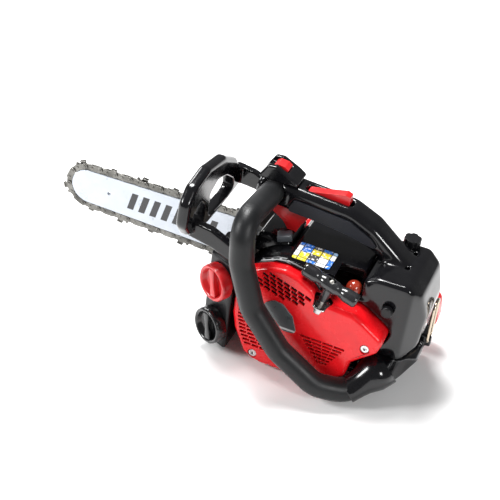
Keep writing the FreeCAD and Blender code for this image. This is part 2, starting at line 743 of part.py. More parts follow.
def hand_guard():
    """Guard plate with two windows, and an arm each side back to the pivot."""
    plate = plate_x(guard_outline(), 14, GUARD_X - GUARD_T / 2, GUARD_X + GUARD_T / 2)
    plate = fillet_near(plate, GUARD_ROUND, lambda e: abs(abs(mid(e).x - GUARD_X) - GUARD_T / 2) < 0.01)
    for window in guard_windows():
        plate = plate.cut(plate_x(window, 6, GUARD_X - GUARD_T, GUARD_X + GUARD_T))
    ax, az = GUARD_AXIS
    left = [(-146, 132), (-146, 150), (-118, 146), (ax - 2, az + 8), (ax + 8, az + 2), (ax + 6, az - 8),
            (ax - 8, az - 8), (-116, 126)]
    plate = plate.fuse(slab(left, 6, -70, -60))
    right = [(-146, 132), (-146, 154), (-120, 150), (ax + 2, az + 8), (ax + 8, az), (ax, az - 8),
             (-118, 130)]
    plate = plate.fuse(slab(right, 6, 48, 57))
    return plate.cut(y_rod(ax, az, -100, 100, PIN_R + FIT))


# ---- bar, chain and clutch ----
def belt_arcs(shift):
    """The chain's rivet line: a loop round the nose, the bar's belly and the sprocket."""
    step = CHAIN_PITCH / (2 * math.sin(math.pi / (2 * SPROCKET_TEETH)))
    nose = (-shift - BAR_NOSE_TO_BELLY, BAR_NOSE_R + RAIL_TO_RIVET)
    belly = (-shift, BAR_BELLY_R + RAIL_TO_RIVET)
    return [(0.0, step), belly, nose]


def belt_pieces(shift):
    """Runs of the upper half of the loop, from the sprocket's rear to the nose's front."""
    circles = belt_arcs(shift)
    pieces = []
    before = math.pi / 2
    angle = 0.0
    for i, (x, r) in enumerate(circles):
        if i + 1 < len(circles):
            x2, r2 = circles[i + 1]
            leave = math.pi / 2 + math.asin((r2 - r) / (x - x2)) * -1
        else:
            leave = math.pi
        pieces.append(("arc", x, r, angle, leave))
        if i + 1 < len(circles):
            a = (x + r * math.cos(leave), r * math.sin(leave))
            b = (x2 + r2 * math.cos(leave), r2 * math.sin(leave))
            pieces.append(("line", a, b))
        angle = leave
    return pieces


def piece_length(piece):
    if piece[0] == "arc":
        return piece[2] * (piece[4] - piece[3])
    return math.dist(piece[1], piece[2])


def half_length(shift):
    return sum(piece_length(p) for p in belt_pieces(shift))


def bar_shift():
    """Where the tensioner leaves the bar, so that the chain's whole length fits."""
    wanted = DRIVE_LINKS * CHAIN_PITCH
    low, high = 60.0, 260.0
    for _ in range(50):
        trial = (low + high) / 2
        if half_length(trial) < wanted:
            low = trial
        else:
            high = trial
    return low


SHIFT = bar_shift()
PIECES = belt_pieces(SHIFT)
BAR_TIP_X = -SHIFT - BAR_NOSE_TO_BELLY - BAR_NOSE_R


def belt_point(distance):
    """A point of the rivet line, counted from the sprocket's rear over the top."""
    total = 2 * DRIVE_LINKS * CHAIN_PITCH
    distance = distance % total
    mirrored = distance > total / 2
    left = total - distance if mirrored else distance
    for piece in PIECES:
        length = piece_length(piece)
        if left <= length or piece is PIECES[-1]:
            break
        left -= length
    if piece[0] == "arc":
        angle = piece[3] + left / piece[2]
        x = piece[1] + piece[2] * math.cos(angle)
        z = piece[2] * math.sin(angle)
    else:
        share = left / length
        x = piece[1][0] + (piece[2][0] - piece[1][0]) * share
        z = piece[1][1] + (piece[2][1] - piece[1][1]) * share
    return V(x, 0, CRANK_Z + (-z if mirrored else z))


def place_link(shape, index):
    """Put a link, drawn along +X with its outside up, between two rivets."""
    a = belt_point((index - 0.5) * CHAIN_PITCH)
    b = belt_point((index + 0.5) * CHAIN_PITCH)
    way = b - a
    turn = math.degrees(math.atan2(way.z, way.x))
    copy = shape.copy()
    copy.rotate(V(0, 0, 0), V(0, 1, 0), -turn)
    copy.translate((a + b) * 0.5 + V(0, BAR_Y, 0))
    return copy


def strap_blank(y0, y1):
    """A link plate drawn along X. The loop's outside is at -Z, since the loop runs over the top to -X."""
    half = CHAIN_PITCH / 2
    body = box(-half, half, y0, y1, -STRAP_R, STRAP_R)
    for x in (-half, half):
        body = body.fuse(y_rod(x, 0, y0, y1, STRAP_R))
    return body


def drill(body):
    half = CHAIN_PITCH / 2
    for x in (-half, half):
        body = body.cut(y_rod(x, 0, -8, 8, RIVET_R + RIVET_PLAY))
    return body


def drive_link():
    body = strap_blank(-LINK_T / 2, LINK_T / 2)
    tang = slab([(-3.6, 0), (3.6, 0), (2.2, 5), (0.6, TANG_DEPTH), (-1.0, TANG_DEPTH), (-2.6, 5)], 0.5,
                -LINK_T / 2, LINK_T / 2)
    return drill(body.fuse(tang))


def strap(side):
    inner = LINK_T / 2 + 0.05
    y0, y1 = sorted((side * inner, side * (inner + STRAP_T)))
    return drill(strap_blank(y0, y1))


def cutter(side):
    """Strap with a raised cutting tooth and a depth gauge in front of it."""
    inner = LINK_T / 2 + 0.05
    y0, y1 = sorted((side * inner, side * (inner + STRAP_T)))
    tooth = slab([(-6.5, -1), (-7.2, -CUTTER_H + 1), (-0.8, -CUTTER_H), (0.6, -3.2), (1, -1)], 0.5, y0, y1)
    gauge = slab([(3.2, -1), (3.4, -CUTTER_H + 2.2), (5.4, -CUTTER_H + 0.8), (7, -CUTTER_H + 3.5), (6.5, -1)],
                 0.5, y0, y1)
    t0, t1 = sorted((-side * 0.8, side * (inner + STRAP_T + 1.1)))
    top = slab([(-7.2, -CUTTER_H + 1.7), (-7.2, -CUTTER_H + 0.6), (-0.6, -CUTTER_H - 0.2),
                (-0.4, -CUTTER_H + 1.2)], 0.2, t0, t1)
    return drill(strap_blank(y0, y1).fuse(tooth).fuse(gauge).fuse(top))


def chain_parts():
    """All links: drive links on even places, straps and cutters between them."""
    links = [place_link(drive_link(), 2 * k) for k in range(DRIVE_LINKS)]
    straps = []
    cutters = []
    for k in range(DRIVE_LINKS):
        place = 2 * k + 1
        cut_side = {0: -1, 2: 1}.get(k % 4)
        for side in (-1, 1):
            if side == cut_side:
                cutters.append(place_link(cutter(side), place))
            else:
                straps.append(place_link(strap(side), place))
    reach = LINK_T / 2 + 0.05 + STRAP_T + 0.5
    rivets = []
    for i in range(2 * DRIVE_LINKS):
        p = belt_point((i + 0.5) * CHAIN_PITCH)
        rivets.append(y_rod(p.x, p.z, BAR_Y - reach, BAR_Y + reach, RIVET_R))
    return group(links), group(straps), group(cutters), group(rivets)


def bar_face(inset):
    """Bar outline between the nose and the tail, drawn in by an inset."""
    nose_x = -SHIFT - BAR_NOSE_TO_BELLY
    r1 = BAR_NOSE_R - inset
    r2 = BAR_BELLY_R - inset
    lean = math.asin((r2 - r1) / BAR_NOSE_TO_BELLY)
    a = V(nose_x - r1 * math.sin(lean), 0, r1 * math.cos(lean))
    b = V(-SHIFT - r2 * math.sin(lean), 0, r2 * math.cos(lean))
    c = V(-SHIFT, 0, r2)
    tail_x = -SHIFT + BAR_BELLY_TO_TAIL - inset
    half = BAR_TAIL_HALF - inset
    d = V(tail_x - 12, 0, half + 2)
    e = V(tail_x, 0, half - 8)

    def low(p):
        return V(p.x, 0, -p.z)

    belly_mid = V(-SHIFT - r2 * math.sin(lean / 2), 0, r2 * math.cos(lean / 2))
    edges = [
        Part.Arc(low(a), V(nose_x - r1, 0, 0), a).toShape(),
        Part.LineSegment(a, b).toShape(),
        Part.Arc(b, belly_mid, c).toShape(),
        Part.LineSegment(c, d).toShape(),
        Part.LineSegment(d, e).toShape(),
        Part.LineSegment(e, low(e)).toShape(),
        Part.LineSegment(low(e), low(d)).toShape(),
        Part.LineSegment(low(d), low(c)).toShape(),
        Part.Arc(low(c), low(belly_mid), low(b)).toShape(),
        Part.LineSegment(low(b), low(a)).toShape(),
    ]
    face = Part.Face(Part.Wire(edges))
    face.translate(V(0, 0, CRANK_Z))
    return face


def guide_bar():
    """Grooved bar with the stud slot, the tensioner holes and the nose rivets."""
    face = bar_face(0.0)
    core = bar_face(BAR_GROOVE)
    face.translate(V(0, BAR_Y - BAR_T / 2, 0))
    bar = face.extrude(V(0, BAR_T, 0))
    ring = bar_face(0.0).cut(core)
    ring.translate(V(0, BAR_Y - 0.75, 0))
    bar = bar.cut(ring.extrude(V(0, 1.5, 0)))
    slot = box(STUD_X[0] - 10, STUD_X[1] + 10, BAR_Y - 5, BAR_Y + 5, CRANK_Z - STUD_R - 0.1, CRANK_Z + STUD_R + 0.1)
    bar = bar.cut(slot)
    bar = bar.cut(y_rod(-SHIFT + 18, CRANK_Z + 14, BAR_Y - 5, BAR_Y + 5, 2))
    nose_x = -SHIFT - BAR_NOSE_TO_BELLY
    return bar.cut(y_rod(nose_x + 26, CRANK_Z, BAR_Y - 5, BAR_Y + 5, 2))


def clutch_drum():
    """Drum with its spur sprocket, which the chain's tangs drop into."""
    root_r = 9.6
    tip_r = 14.0
    drum = y_rod(0, CRANK_Z, DRUM_Y0, DRUM_Y1, DRUM_R)
    drum = drum.cut(y_rod(0, CRANK_Z, DRUM_Y0 + DRUM_WALL, DRUM_Y1 + 1, DRUM_R - DRUM_WALL))
    drum = drum.fuse(y_rod(0, CRANK_Z, 38.6, DRUM_Y0 + 1, root_r))
    for i in range(SPROCKET_TEETH):
        tooth = slab([(5, -2.8), (5, 2.8), (root_r, 2.7), (tip_r, 2.0), (tip_r, -2.0), (root_r, -2.7)], 0.4,
                     38.6, 45.4)
        tooth.rotate(V(0, 0, 0), V(0, 1, 0), (i + 0.5) * 360 / SPROCKET_TEETH)
        tooth.translate(CRANK)
        drum = drum.fuse(tooth)
    return drum.cut(y_rod(0, CRANK_Z, 30, 70, SHAFT_END_R + FIT))


def clutch_hub():
    hub = y_rod(0, CRANK_Z, 49.5, 60, 9)
    arm = DRUM_R - DRUM_WALL - 3
    hub = hub.fuse(box(-3, 3, 50, 60, CRANK_Z - arm, CRANK_Z + arm))
    return hub.cut(y_rod(0, CRANK_Z, 40, 70, SHAFT_END_R))


def clutch_shoe(side):
    shoe = tube(V(0, 50, CRANK_Z), V(0, 1, 0), 10, DRUM_R - DRUM_WALL - 1.0, 10)
    x0, x1 = (3.3, 40) if side > 0 else (-40, -3.3)
    return shoe.common(box(x0, x1, 49, 61, 0, 200))


def oil_pump():
    pump = box(-30, -12, 27, 33, 40, 62)
    return pump.fuse(y_rod(-21, 51, 26.4, 36, 5))


def side_housing():
    """Right-hand wall of the saw: the bar's clamping face, with the chain catcher below it."""
    wall = slab([(-118, 30), (-118, 96), (-90, 114), (40, 112), (100, 60), (100, 12), (90, 4), (-90, 4)], 6,
                34, 38.4)
    pad = slab([(-104, 58), (-104, 78), (-50, 78), (-50, 58)], 4, 38, BAR_Y - BAR_T / 2)
    wall = wall.cut(y_rod(0, CRANK_Z, 30, 45, 34)).fuse(pad)
    wall = wall.cut(y_rod(-21, 51, 30, 45, 5.5))
    catcher = box(-70, -62, 38, 46.6, 24, 29)
    pivot = y_rod(GUARD_AXIS[0], GUARD_AXIS[1], 36, 60, PIN_R)
    pillar = slab([(-104, 100), (-92, 130), (-80, 130), (-70, 100)], 3, 34, 38.4)
    return wall.fuse(catcher).fuse(pivot).fuse(pillar)


def clutch_cover():
    outline = [(-70, 34), (-70, 98), (-34, 112), (34, 110), (72, 92), (104, 62), (107, 38), (94, 22), (30, 16),
               (-50, 20)]
    outer = slab(outline, 10, 47, COVER_Y)
    outer = fillet_near(outer, 6.0, lambda e: abs(mid(e).y - COVER_Y) < 0.01)
    inner = shrunk(slab(outline, 10, 47, COVER_Y), WALL, 46, COVER_Y - WALL)
    shell = outer.cut(inner)
    bosses = [y_rod(x, CRANK_Z, BAR_Y + BAR_T / 2, COVER_Y - 1, 9) for x in STUD_X]
    lug = slab([(-96, 54), (-96, 82), (-60, 90), (-60, 46)], 8, 60, COVER_Y)
    shell = shell.fuse(lug)
    for boss in bosses:
        shell = shell.fuse(boss)
    for x in STUD_X:
        shell = shell.cut(y_rod(x, CRANK_Z, 30, 90, STUD_R + 0.1))
    return shell


def bar_studs():
    return group([y_rod(x, CRANK_Z, BAR_Y - BAR_T / 2, COVER_Y + 8, STUD_R) for x in STUD_X])


def bar_nuts():
    nuts = []
    for x in STUD_X:
        nut = Part.Face(Part.makePolygon(
            [V(x + 7 * math.cos(a), COVER_Y, CRANK_Z + 7 * math.sin(a))
             for a in [math.radians(60 * i) for i in range(7)]])).extrude(V(0, 7, 0))
        nut = nut.fuse(y_rod(x, CRANK_Z, COVER_Y, COVER_Y + 1.5, 8.5))
        nuts.append(nut.cut(y_rod(x, CRANK_Z, 60, 90, STUD_R)))
    return group(nuts)


# ---- small fittings ----
PURGE = V(29, -43.5, 112.5)


def purge_bulb():
    """Clear dome that is pressed to prime the carburettor."""
    dome = Part.makeSphere(8, PURGE + V(0, 0, 5)).common(rod(PURGE + V(0, 0, 5), V(0, 0, 1), 20, 20))
    return dome.fuse(rod(PURGE + V(0, 0, 2.2), V(0, 0, 1), 3, 8))


RING_AXIS = (108.0, 54.0)
RING_WIRE = 1.6
RING_TALL = 48.0


def lanyard_ring():
    """Wire ring for the climber's strop, folded up against the rear."""
    x, z = RING_AXIS
    points = [V(x, 9, z), V(x, -9, z), V(x - 1, -9, z + RING_TALL), V(x - 1, 9, z + RING_TALL)]
    edges = corner_edges(points, [6] * 4, True)
    wire = Part.Wire(edges)
    start = wire.Edges[0].valueAt(wire.Edges[0].FirstParameter)
    way = wire.Edges[0].tangentAt(wire.Edges[0].FirstParameter)
    return wire.makePipeShell([Part.Wire(Part.makeCircle(RING_WIRE, start, way))], True, False)


def nodes():
    links, straps, cutters, rivets = chain_parts()
    return {
        "crankcase_left": crankcase(-1), "crankcase_right": crankcase(1), "cylinder": cylinder(),
        "spark_plug": spark_plug(), "spark_plug_boot": spark_plug_boot(), "piston": piston(),
        "piston_rings": piston_rings(), "wrist_pin": wrist_pin(), "con_rod": con_rod(),
        "crankpin": crankpin(), "crankshaft": crankshaft(), "main_bearings": main_bearings(),
        "flywheel": flywheel(), "ignition_coil": ignition_coil(), "starter_pulley": starter_pulley(),
        "recoil_spring": recoil_spring(), "starter_rope": starter_rope(), "starter_grip": starter_grip(),
        "rope_guide": rope_guide(), "starter_cover": starter_cover(), "starter_badge": starter_badge(),
        "case_screws": case_screws(), "front_tank": front_tank(), "fuel_cap": tank_cap(FUEL_Z),
        "oil_cap": tank_cap(OIL_Z), "chassis": chassis(), "isolators": isolators(),
        "muffler": muffler(), "intake_boot": intake_boot(), "carburettor": carburettor(),
        "air_filter": air_filter(), "choke_knob": choke_knob(), "top_cover": top_cover(),
        "instruction_label": instruction_label(), "rear_housing": rear_housing(),
        "housing_knob": housing_knob(), "top_handle": top_handle(), "handle_grip": handle_grip(),
        "switch_housing": switch_housing(), "stop_switch": stop_switch(),
        "throttle_trigger": throttle_trigger(), "throttle_lockout": throttle_lockout(),
        "front_handle": front_handle(), "hand_guard": hand_guard(), "side_housing": side_housing(),
        "guide_bar": guide_bar(), "drive_links": links, "tie_straps": straps, "cutters": cutters,
        "chain_rivets": rivets, "clutch_drum": clutch_drum(), "clutch_hub": clutch_hub(),
        "clutch_shoe_front": clutch_shoe(-1), "clutch_shoe_rear": clutch_shoe(1), "oil_pump": oil_pump(),
        "clutch_cover": clutch_cover(), "bar_studs": bar_studs(), "bar_nuts": bar_nuts(),
        "purge_bulb": purge_bulb(), "lanyard_ring": lanyard_ring(),
    }


def main():
    os.makedirs("parts", exist_ok=True)
    for name, shape in nodes().items():
        shape.exportStep("parts/" + name + ".step")
        print(name, len(shape.Solids), round(shape.Volume / 1000, 2), shape.isValid())


main()
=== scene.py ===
import math
import bmesh
import bpy
from mathutils import Matrix, Vector


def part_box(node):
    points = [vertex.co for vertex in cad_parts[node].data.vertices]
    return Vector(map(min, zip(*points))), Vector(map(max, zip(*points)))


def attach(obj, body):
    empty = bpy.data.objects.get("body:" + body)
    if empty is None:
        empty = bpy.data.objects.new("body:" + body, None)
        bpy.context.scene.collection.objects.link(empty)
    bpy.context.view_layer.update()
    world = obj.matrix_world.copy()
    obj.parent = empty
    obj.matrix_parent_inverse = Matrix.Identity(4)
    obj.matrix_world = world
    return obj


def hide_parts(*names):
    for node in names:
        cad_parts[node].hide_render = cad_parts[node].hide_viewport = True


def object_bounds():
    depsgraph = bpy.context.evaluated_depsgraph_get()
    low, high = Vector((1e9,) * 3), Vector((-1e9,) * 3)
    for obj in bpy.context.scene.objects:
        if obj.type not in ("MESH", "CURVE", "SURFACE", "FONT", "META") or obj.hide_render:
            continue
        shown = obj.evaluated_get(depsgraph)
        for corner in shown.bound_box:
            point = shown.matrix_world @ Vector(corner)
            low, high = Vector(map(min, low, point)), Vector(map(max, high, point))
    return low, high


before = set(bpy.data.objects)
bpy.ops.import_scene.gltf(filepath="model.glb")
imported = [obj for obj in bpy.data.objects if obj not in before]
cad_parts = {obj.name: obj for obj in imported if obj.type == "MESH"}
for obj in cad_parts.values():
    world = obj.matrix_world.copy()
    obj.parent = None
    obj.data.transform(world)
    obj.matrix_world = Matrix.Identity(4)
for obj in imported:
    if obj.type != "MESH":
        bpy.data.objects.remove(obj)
cad_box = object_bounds()


# ---- crankcase and cylinder ----
# The two crankcase halves and the finned cylinder are die-cast aluminium. They bolt together
# round the crankshaft and stand inside the covers, with the cylinder leaning forward.
def add(tree, kind, values=(), **settings):
    """One shader node, with its settings and the values of its inputs."""
    node = tree.nodes.new(kind)
    for name, value in settings.items():
        setattr(node, name, value)
    for name, value in dict(values).items():
        node.inputs[name].default_value = value
    return node


def surface_group():
    """Tone, grain, rubbed edges and fine scuffs that every moulded or cast surface shares."""
    tree = bpy.data.node_groups.new("worked surface", "ShaderNodeTree")
    face = tree.interface
    for name, kind in (("Colour", "NodeSocketColor"), ("Deep Colour", "NodeSocketColor"),
                       ("Edge Colour", "NodeSocketColor"), ("Roughness", "NodeSocketFloat"),
                       ("Grain Size", "NodeSocketFloat"), ("Grain Depth", "NodeSocketFloat"),
                       ("Edge Wear", "NodeSocketFloat"), ("Scuffs", "NodeSocketFloat")):
        face.new_socket(name=name, in_out="INPUT", socket_type=kind)
    for name, kind in (("Colour", "NodeSocketColor"), ("Roughness", "NodeSocketFloat"),
                       ("Normal", "NodeSocketVector")):
        face.new_socket(name=name, in_out="OUTPUT", socket_type=kind)
    link = tree.links.new
    given = add(tree, "NodeGroupInput")
    result = add(tree, "NodeGroupOutput")
    place = add(tree, "ShaderNodeTexCoord")
    grain = add(tree, "ShaderNodeTexNoise", {"Detail": 3.0, "Roughness": 0.6})
    blotch = add(tree, "ShaderNodeTexNoise", {"Scale": 55.0, "Detail": 4.0, "Roughness": 0.55})
    stretch = add(tree, "ShaderNodeMapping", {"Rotation": (0.3, 0.5, 0.9), "Scale": (1.0, 0.06, 1.0)})
    scratch = add(tree, "ShaderNodeTexNoise", {"Scale": 900.0, "Detail": 2.0, "Roughness": 0.7})
    scratch_mask = add(tree, "ShaderNodeMapRange", {"From Min": 0.62, "From Max": 0.78})
    for pattern in (grain, blotch):
        link(place.outputs["Object"], pattern.inputs["Vector"])
    link(place.outputs["Object"], stretch.inputs["Vector"])
    link(stretch.outputs["Vector"], scratch.inputs["Vector"])
    link(given.outputs["Grain Size"], grain.inputs["Scale"])
    link(scratch.outputs["Fac"], scratch_mask.inputs["Value"])

    rounded = add(tree, "ShaderNodeBevel", {"Radius": 0.0007}, samples=4)
    true_normal = add(tree, "ShaderNodeNewGeometry")
    facing = add(tree, "ShaderNodeVectorMath", operation="DOT_PRODUCT")
    link(rounded.outputs["Normal"], facing.inputs[0])
    link(true_normal.outputs["Normal"], facing.inputs[1])
    edge = add(tree, "ShaderNodeMapRange", {"From Min": 0.995, "From Max": 0.86})
    link(facing.outputs["Value"], edge.inputs["Value"])
    rub = add(tree, "ShaderNodeMath", operation="MULTIPLY")
    link(edge.outputs["Result"], rub.inputs[0])
    link(blotch.outputs["Fac"], rub.inputs[1])
    worn = add(tree, "ShaderNodeMath", operation="MULTIPLY", use_clamp=True)
    link(rub.outputs["Value"], worn.inputs[0])
    link(given.outputs["Edge Wear"], worn.inputs[1])

    tone_range = add(tree, "ShaderNodeMapRange", {"From Min": 0.3, "From Max": 0.7})
    link(blotch.outputs["Fac"], tone_range.inputs["Value"])
    tone = add(tree, "ShaderNodeMix", data_type="RGBA")
    link(tone_range.outputs["Result"], tone.inputs["Factor"])
    link(given.outputs["Deep Colour"], tone.inputs[6])
    link(given.outputs["Colour"], tone.inputs[7])
    colour = add(tree, "ShaderNodeMix", data_type="RGBA")
    link(worn.outputs["Value"], colour.inputs["Factor"])
    link(tone.outputs[2], colour.inputs[6])
    link(given.outputs["Edge Colour"], colour.inputs[7])
    link(colour.outputs[2], result.inputs["Colour"])

    scuffed = add(tree, "ShaderNodeMath", operation="MULTIPLY")
    link(scratch_mask.outputs["Result"], scuffed.inputs[0])
    link(given.outputs["Scuffs"], scuffed.inputs[1])
    uneven = add(tree, "ShaderNodeMapRange",
                 {"From Min": 0.3, "From Max": 0.7, "To Min": -0.06, "To Max": 0.06})
    link(blotch.outputs["Fac"], uneven.inputs["Value"])
    summed = add(tree, "ShaderNodeMath", operation="ADD")
    link(scuffed.outputs["Value"], summed.inputs[0])
    link(uneven.outputs["Result"], summed.inputs[1])
    rough = add(tree, "ShaderNodeMath", operation="ADD", use_clamp=True)
    link(summed.outputs["Value"], rough.inputs[0])
    link(given.outputs["Roughness"], rough.inputs[1])
    link(rough.outputs["Value"], result.inputs["Roughness"])

    bump = add(tree, "ShaderNodeBump", {"Strength": 1.0})
    link(given.outputs["Grain Depth"], bump.inputs["Distance"])
    link(grain.outputs["Fac"], bump.inputs["Height"])
    link(rounded.outputs["Normal"], bump.inputs["Normal"])
    link(bump.outputs["Normal"], result.inputs["Normal"])
    return tree


WORKED_SURFACE = surface_group()


def finish(name, colour, deep, edge, roughness, grain=1500.0, depth=0.00003, wear=0.6, scuffs=0.12,
           metallic=0.0, coat=0.0, sheen=0.0, shine=0.5):
    """A material of the shared worked surface, with this finish's own colours and values."""
    material = bpy.data.materials.new(name)
    material.use_nodes = True
    tree = material.node_tree
    shader = tree.nodes["Principled BSDF"]
    shader.inputs["Metallic"].default_value = metallic
    shader.inputs["Coat Weight"].default_value = coat
    shader.inputs["Coat Roughness"].default_value = 0.06
    shader.inputs["Specular IOR Level"].default_value = shine
    shader.inputs["Sheen Weight"].default_value = sheen
    surface = add(tree, "ShaderNodeGroup", node_tree=WORKED_SURFACE)
    surface.inputs["Colour"].default_value = (*colour, 1)
    surface.inputs["Deep Colour"].default_value = (*deep, 1)
    surface.inputs["Edge Colour"].default_value = (*edge, 1)
    surface.inputs["Roughness"].default_value = roughness
    surface.inputs["Grain Size"].default_value = grain
    surface.inputs["Grain Depth"].default_value = depth
    surface.inputs["Edge Wear"].default_value = wear
    surface.inputs["Scuffs"].default_value = scuffs
    for given, taken in (("Colour", "Base Color"), ("Roughness", "Roughness"), ("Normal", "Normal")):
        tree.links.new(surface.outputs[given], shader.inputs[taken])
    return material


def paint(material, *nodes):
    """Gives CAD nodes their finish, on the slots that they came with."""
    for node in nodes:
        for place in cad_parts[node].material_slots:
            place.material = material


cast_aluminium = finish("cast aluminium", (0.5, 0.5, 0.51), (0.36, 0.36, 0.37), (0.75, 0.75, 0.76),
                        0.48, grain=900.0, depth=0.00012, wear=0.8, metallic=1.0)
paint(cast_aluminium, "crankcase_left", "crankcase_right", "cylinder", "oil_pump")


# ---- piston, rod and crankshaft ----
# The piston is turned from a casting, the rod, pins, rings and crankshaft are ground steel.
# They run on the two main bearings between the crankcase halves.
ground_steel = finish("ground steel", (0.56, 0.56, 0.57), (0.42, 0.42, 0.44), (0.8, 0.8, 0.8), 0.26,
                      grain=2600.0, depth=0.00001, scuffs=0.2, metallic=1.0)
paint(ground_steel, "piston", "piston_rings", "wrist_pin", "con_rod", "crankpin", "crankshaft",
      "main_bearings")


# ---- flywheel and ignition ----
# The flywheel is a cast fan on the shaft's left end, and the coil stands at its rim.
# The plug is plated steel with a white ceramic, under a rubber boot.
paint(cast_aluminium, "flywheel")
coil_varnish = finish("coil varnish", (0.09, 0.085, 0.08), (0.04, 0.04, 0.04), (0.3, 0.28, 0.25), 0.42,
                      coat=0.3)
plug_plating = finish("plug plating", (0.62, 0.61, 0.58), (0.45, 0.44, 0.42), (0.85, 0.85, 0.83), 0.3,
                      metallic=0.9)
moulded_rubber = finish("moulded rubber", (0.022, 0.022, 0.023), (0.014, 0.014, 0.014),
                        (0.06, 0.06, 0.06), 0.62, grain=2200.0, depth=0.00006, sheen=0.2)
paint(coil_varnish, "ignition_coil")
paint(plug_plating, "spark_plug")
paint(moulded_rubber, "spark_plug_boot")


# ---- muffler ----
# A box of pressed stainless sheet, straw-coloured from heat. It is bolted to the front of the
# cylinder, over the exhaust port.
heated_sheet = finish("heat-stained sheet", (0.36, 0.31, 0.25), (0.2, 0.17, 0.16), (0.6, 0.56, 0.5),
                      0.4, grain=300.0, depth=0.00004, scuffs=0.25, metallic=1.0)
paint(heated_sheet, "muffler")


# ---- carburettor and air filter ----
# The carburettor is a zinc casting on a rubber boot, behind the cylinder.
# A felt filter element and the choke knob close the intake.
zinc_casting = finish("zinc casting", (0.44, 0.45, 0.46), (0.3, 0.3, 0.31), (0.7, 0.7, 0.7), 0.4,
                      grain=1200.0, depth=0.00006, metallic=1.0)
filter_felt = finish("filter felt", (0.2, 0.2, 0.19), (0.1, 0.1, 0.1), (0.3, 0.3, 0.28), 0.9,
                     grain=3500.0, depth=0.0004, wear=0.2, sheen=0.5)
dark_nylon = finish("dark glass-filled nylon", (0.008, 0.008, 0.009), (0.005, 0.005, 0.006),
                    (0.04, 0.04, 0.04), 0.34, grain=1300.0, depth=0.00008, shine=0.3)
paint(zinc_casting, "carburettor")
paint(filter_felt, "air_filter")
paint(moulded_rubber, "intake_boot", "isolators")
paint(dark_nylon, "choke_knob")


# ---- clutch and oil pump ----
# Two sintered shoes slide on a steel hub at the shaft's right end, inside a pressed steel drum
# that carries the chain's spur sprocket.
sintered_steel = finish("sintered steel", (0.33, 0.32, 0.31), (0.22, 0.21, 0.2), (0.6, 0.6, 0.6), 0.5,
                        grain=1600.0, depth=0.00006, metallic=1.0)
paint(sintered_steel, "clutch_hub", "clutch_shoe_front", "clutch_shoe_rear")
paint(ground_steel, "clutch_drum")


# ---- tanks and chassis ----
# The fuel and oil tanks are one black nylon moulding at the front left, and the chassis
# is the tray under the engine, with the heel and the lanyard ring's lug at its rear.
SKIN = 0.0011
gloss_black = finish("gloss black nylon", (0.005, 0.005, 0.006), (0.003, 0.003, 0.004),
                     (0.03, 0.03, 0.035), 0.16, grain=1500.0, depth=0.000012, wear=0.4, scuffs=0.06,
                     coat=0.2, shine=0.35)


def settled(piece):
    """The piece with its modifiers worked into its mesh."""
    graph = bpy.context.evaluated_depsgraph_get()
    made = bpy.data.meshes.new_from_object(piece.evaluated_get(graph))
    made.name = piece.name
    piece.modifiers.clear()
    piece.data = made
    return piece


def show(name, mesh, body, material):
    """Puts a finished mesh in the scene, on its body and with its finish."""
    made = bpy.data.meshes.new(name)
    mesh.to_mesh(made)
    mesh.free()
    for face in made.polygons:
        face.use_smooth = True
    piece = bpy.data.objects.new(name, made)
    bpy.context.scene.collection.objects.link(piece)
    made.materials.append(material)
    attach(piece, body)
    return piece


def moulded(name, nodes, body, material, skin=SKIN, rounds=5, drawn=None):
    """Shells remade as one skin whose edges are rounded, as they leave the mould."""
    shell = bmesh.new()
    for node in nodes:
        shell.from_mesh(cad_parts[node].data)
    bmesh.ops.remove_doubles(shell, verts=shell.verts, dist=1e-6)
    if drawn:
        for vert in shell.verts:
            drawn(vert)
    piece = show(name, shell, body, material)
    remade = piece.modifiers.new("skin", "REMESH")
    remade.mode = "VOXEL"
    remade.voxel_size = skin
    remade.use_smooth_shade = True
    rounding = piece.modifiers.new("rounding", "SMOOTH")
    rounding.iterations = rounds
    rounding.factor = 0.5
    settled(piece)
    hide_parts(*nodes)
    return piece


moulded("tank_moulding", ["front_tank"], "frame", dark_nylon)


HEEL_FRONT = 0.058
HEEL_TOP = 0.040
HEEL_DRAFT = 0.38


def drawn_heel(vert):
    """Draws the heel in towards its foot, so that it tapers down to the floor."""
    if vert.co.x > HEEL_FRONT and vert.co.z < HEEL_TOP:
        low = 1 - vert.co.z / HEEL_TOP
        vert.co.x -= HEEL_DRAFT * low * (vert.co.x - HEEL_FRONT)


moulded("base_moulding", ["chassis"], "frame", gloss_black, rounds=24, drawn=drawn_heel)


def handle_boot():
    """Flared boot of the base moulding, which the front handle's lower end is pressed into."""
    foot, root = Vector((0.050, -0.0775, 0.0145)), Vector((0.078, -0.048, 0.040))
    reach = (root - foot).length
    profile = [(0.0126, 0), (0.0131, 0.0012), (0.0134, 0.006), (0.0140, 0.013), (0.0152, 0.020),
               (0.0175, 0.027), (0.0195, 0.033), (0.0200, reach)]
    shape = bmesh.new()
    line = [shape.verts.new((r, 0, z)) for r, z in profile]
    edges = [shape.edges.new(pair) for pair in zip(line, line[1:])]
    bmesh.ops.spin(shape, geom=line + edges, cent=(0, 0, 0), axis=(0, 0, 1), angle=2 * math.pi,
                   steps=48, use_merge=True)
    bmesh.ops.remove_doubles(shape, verts=shape.verts, dist=1e-6)
    open_edges = [e for e in shape.edges if e.is_boundary]
    bmesh.ops.holes_fill(shape, edges=open_edges, sides=0)
    bmesh.ops.recalc_face_normals(shape, faces=shape.faces)
    turn = (root - foot).to_track_quat("Z", "Y").to_matrix().to_4x4()
    bmesh.ops.transform(shape, matrix=Matrix.Translation(foot) @ turn, verts=shape.verts)
    show("handle_boot", shape, "frame", gloss_black)


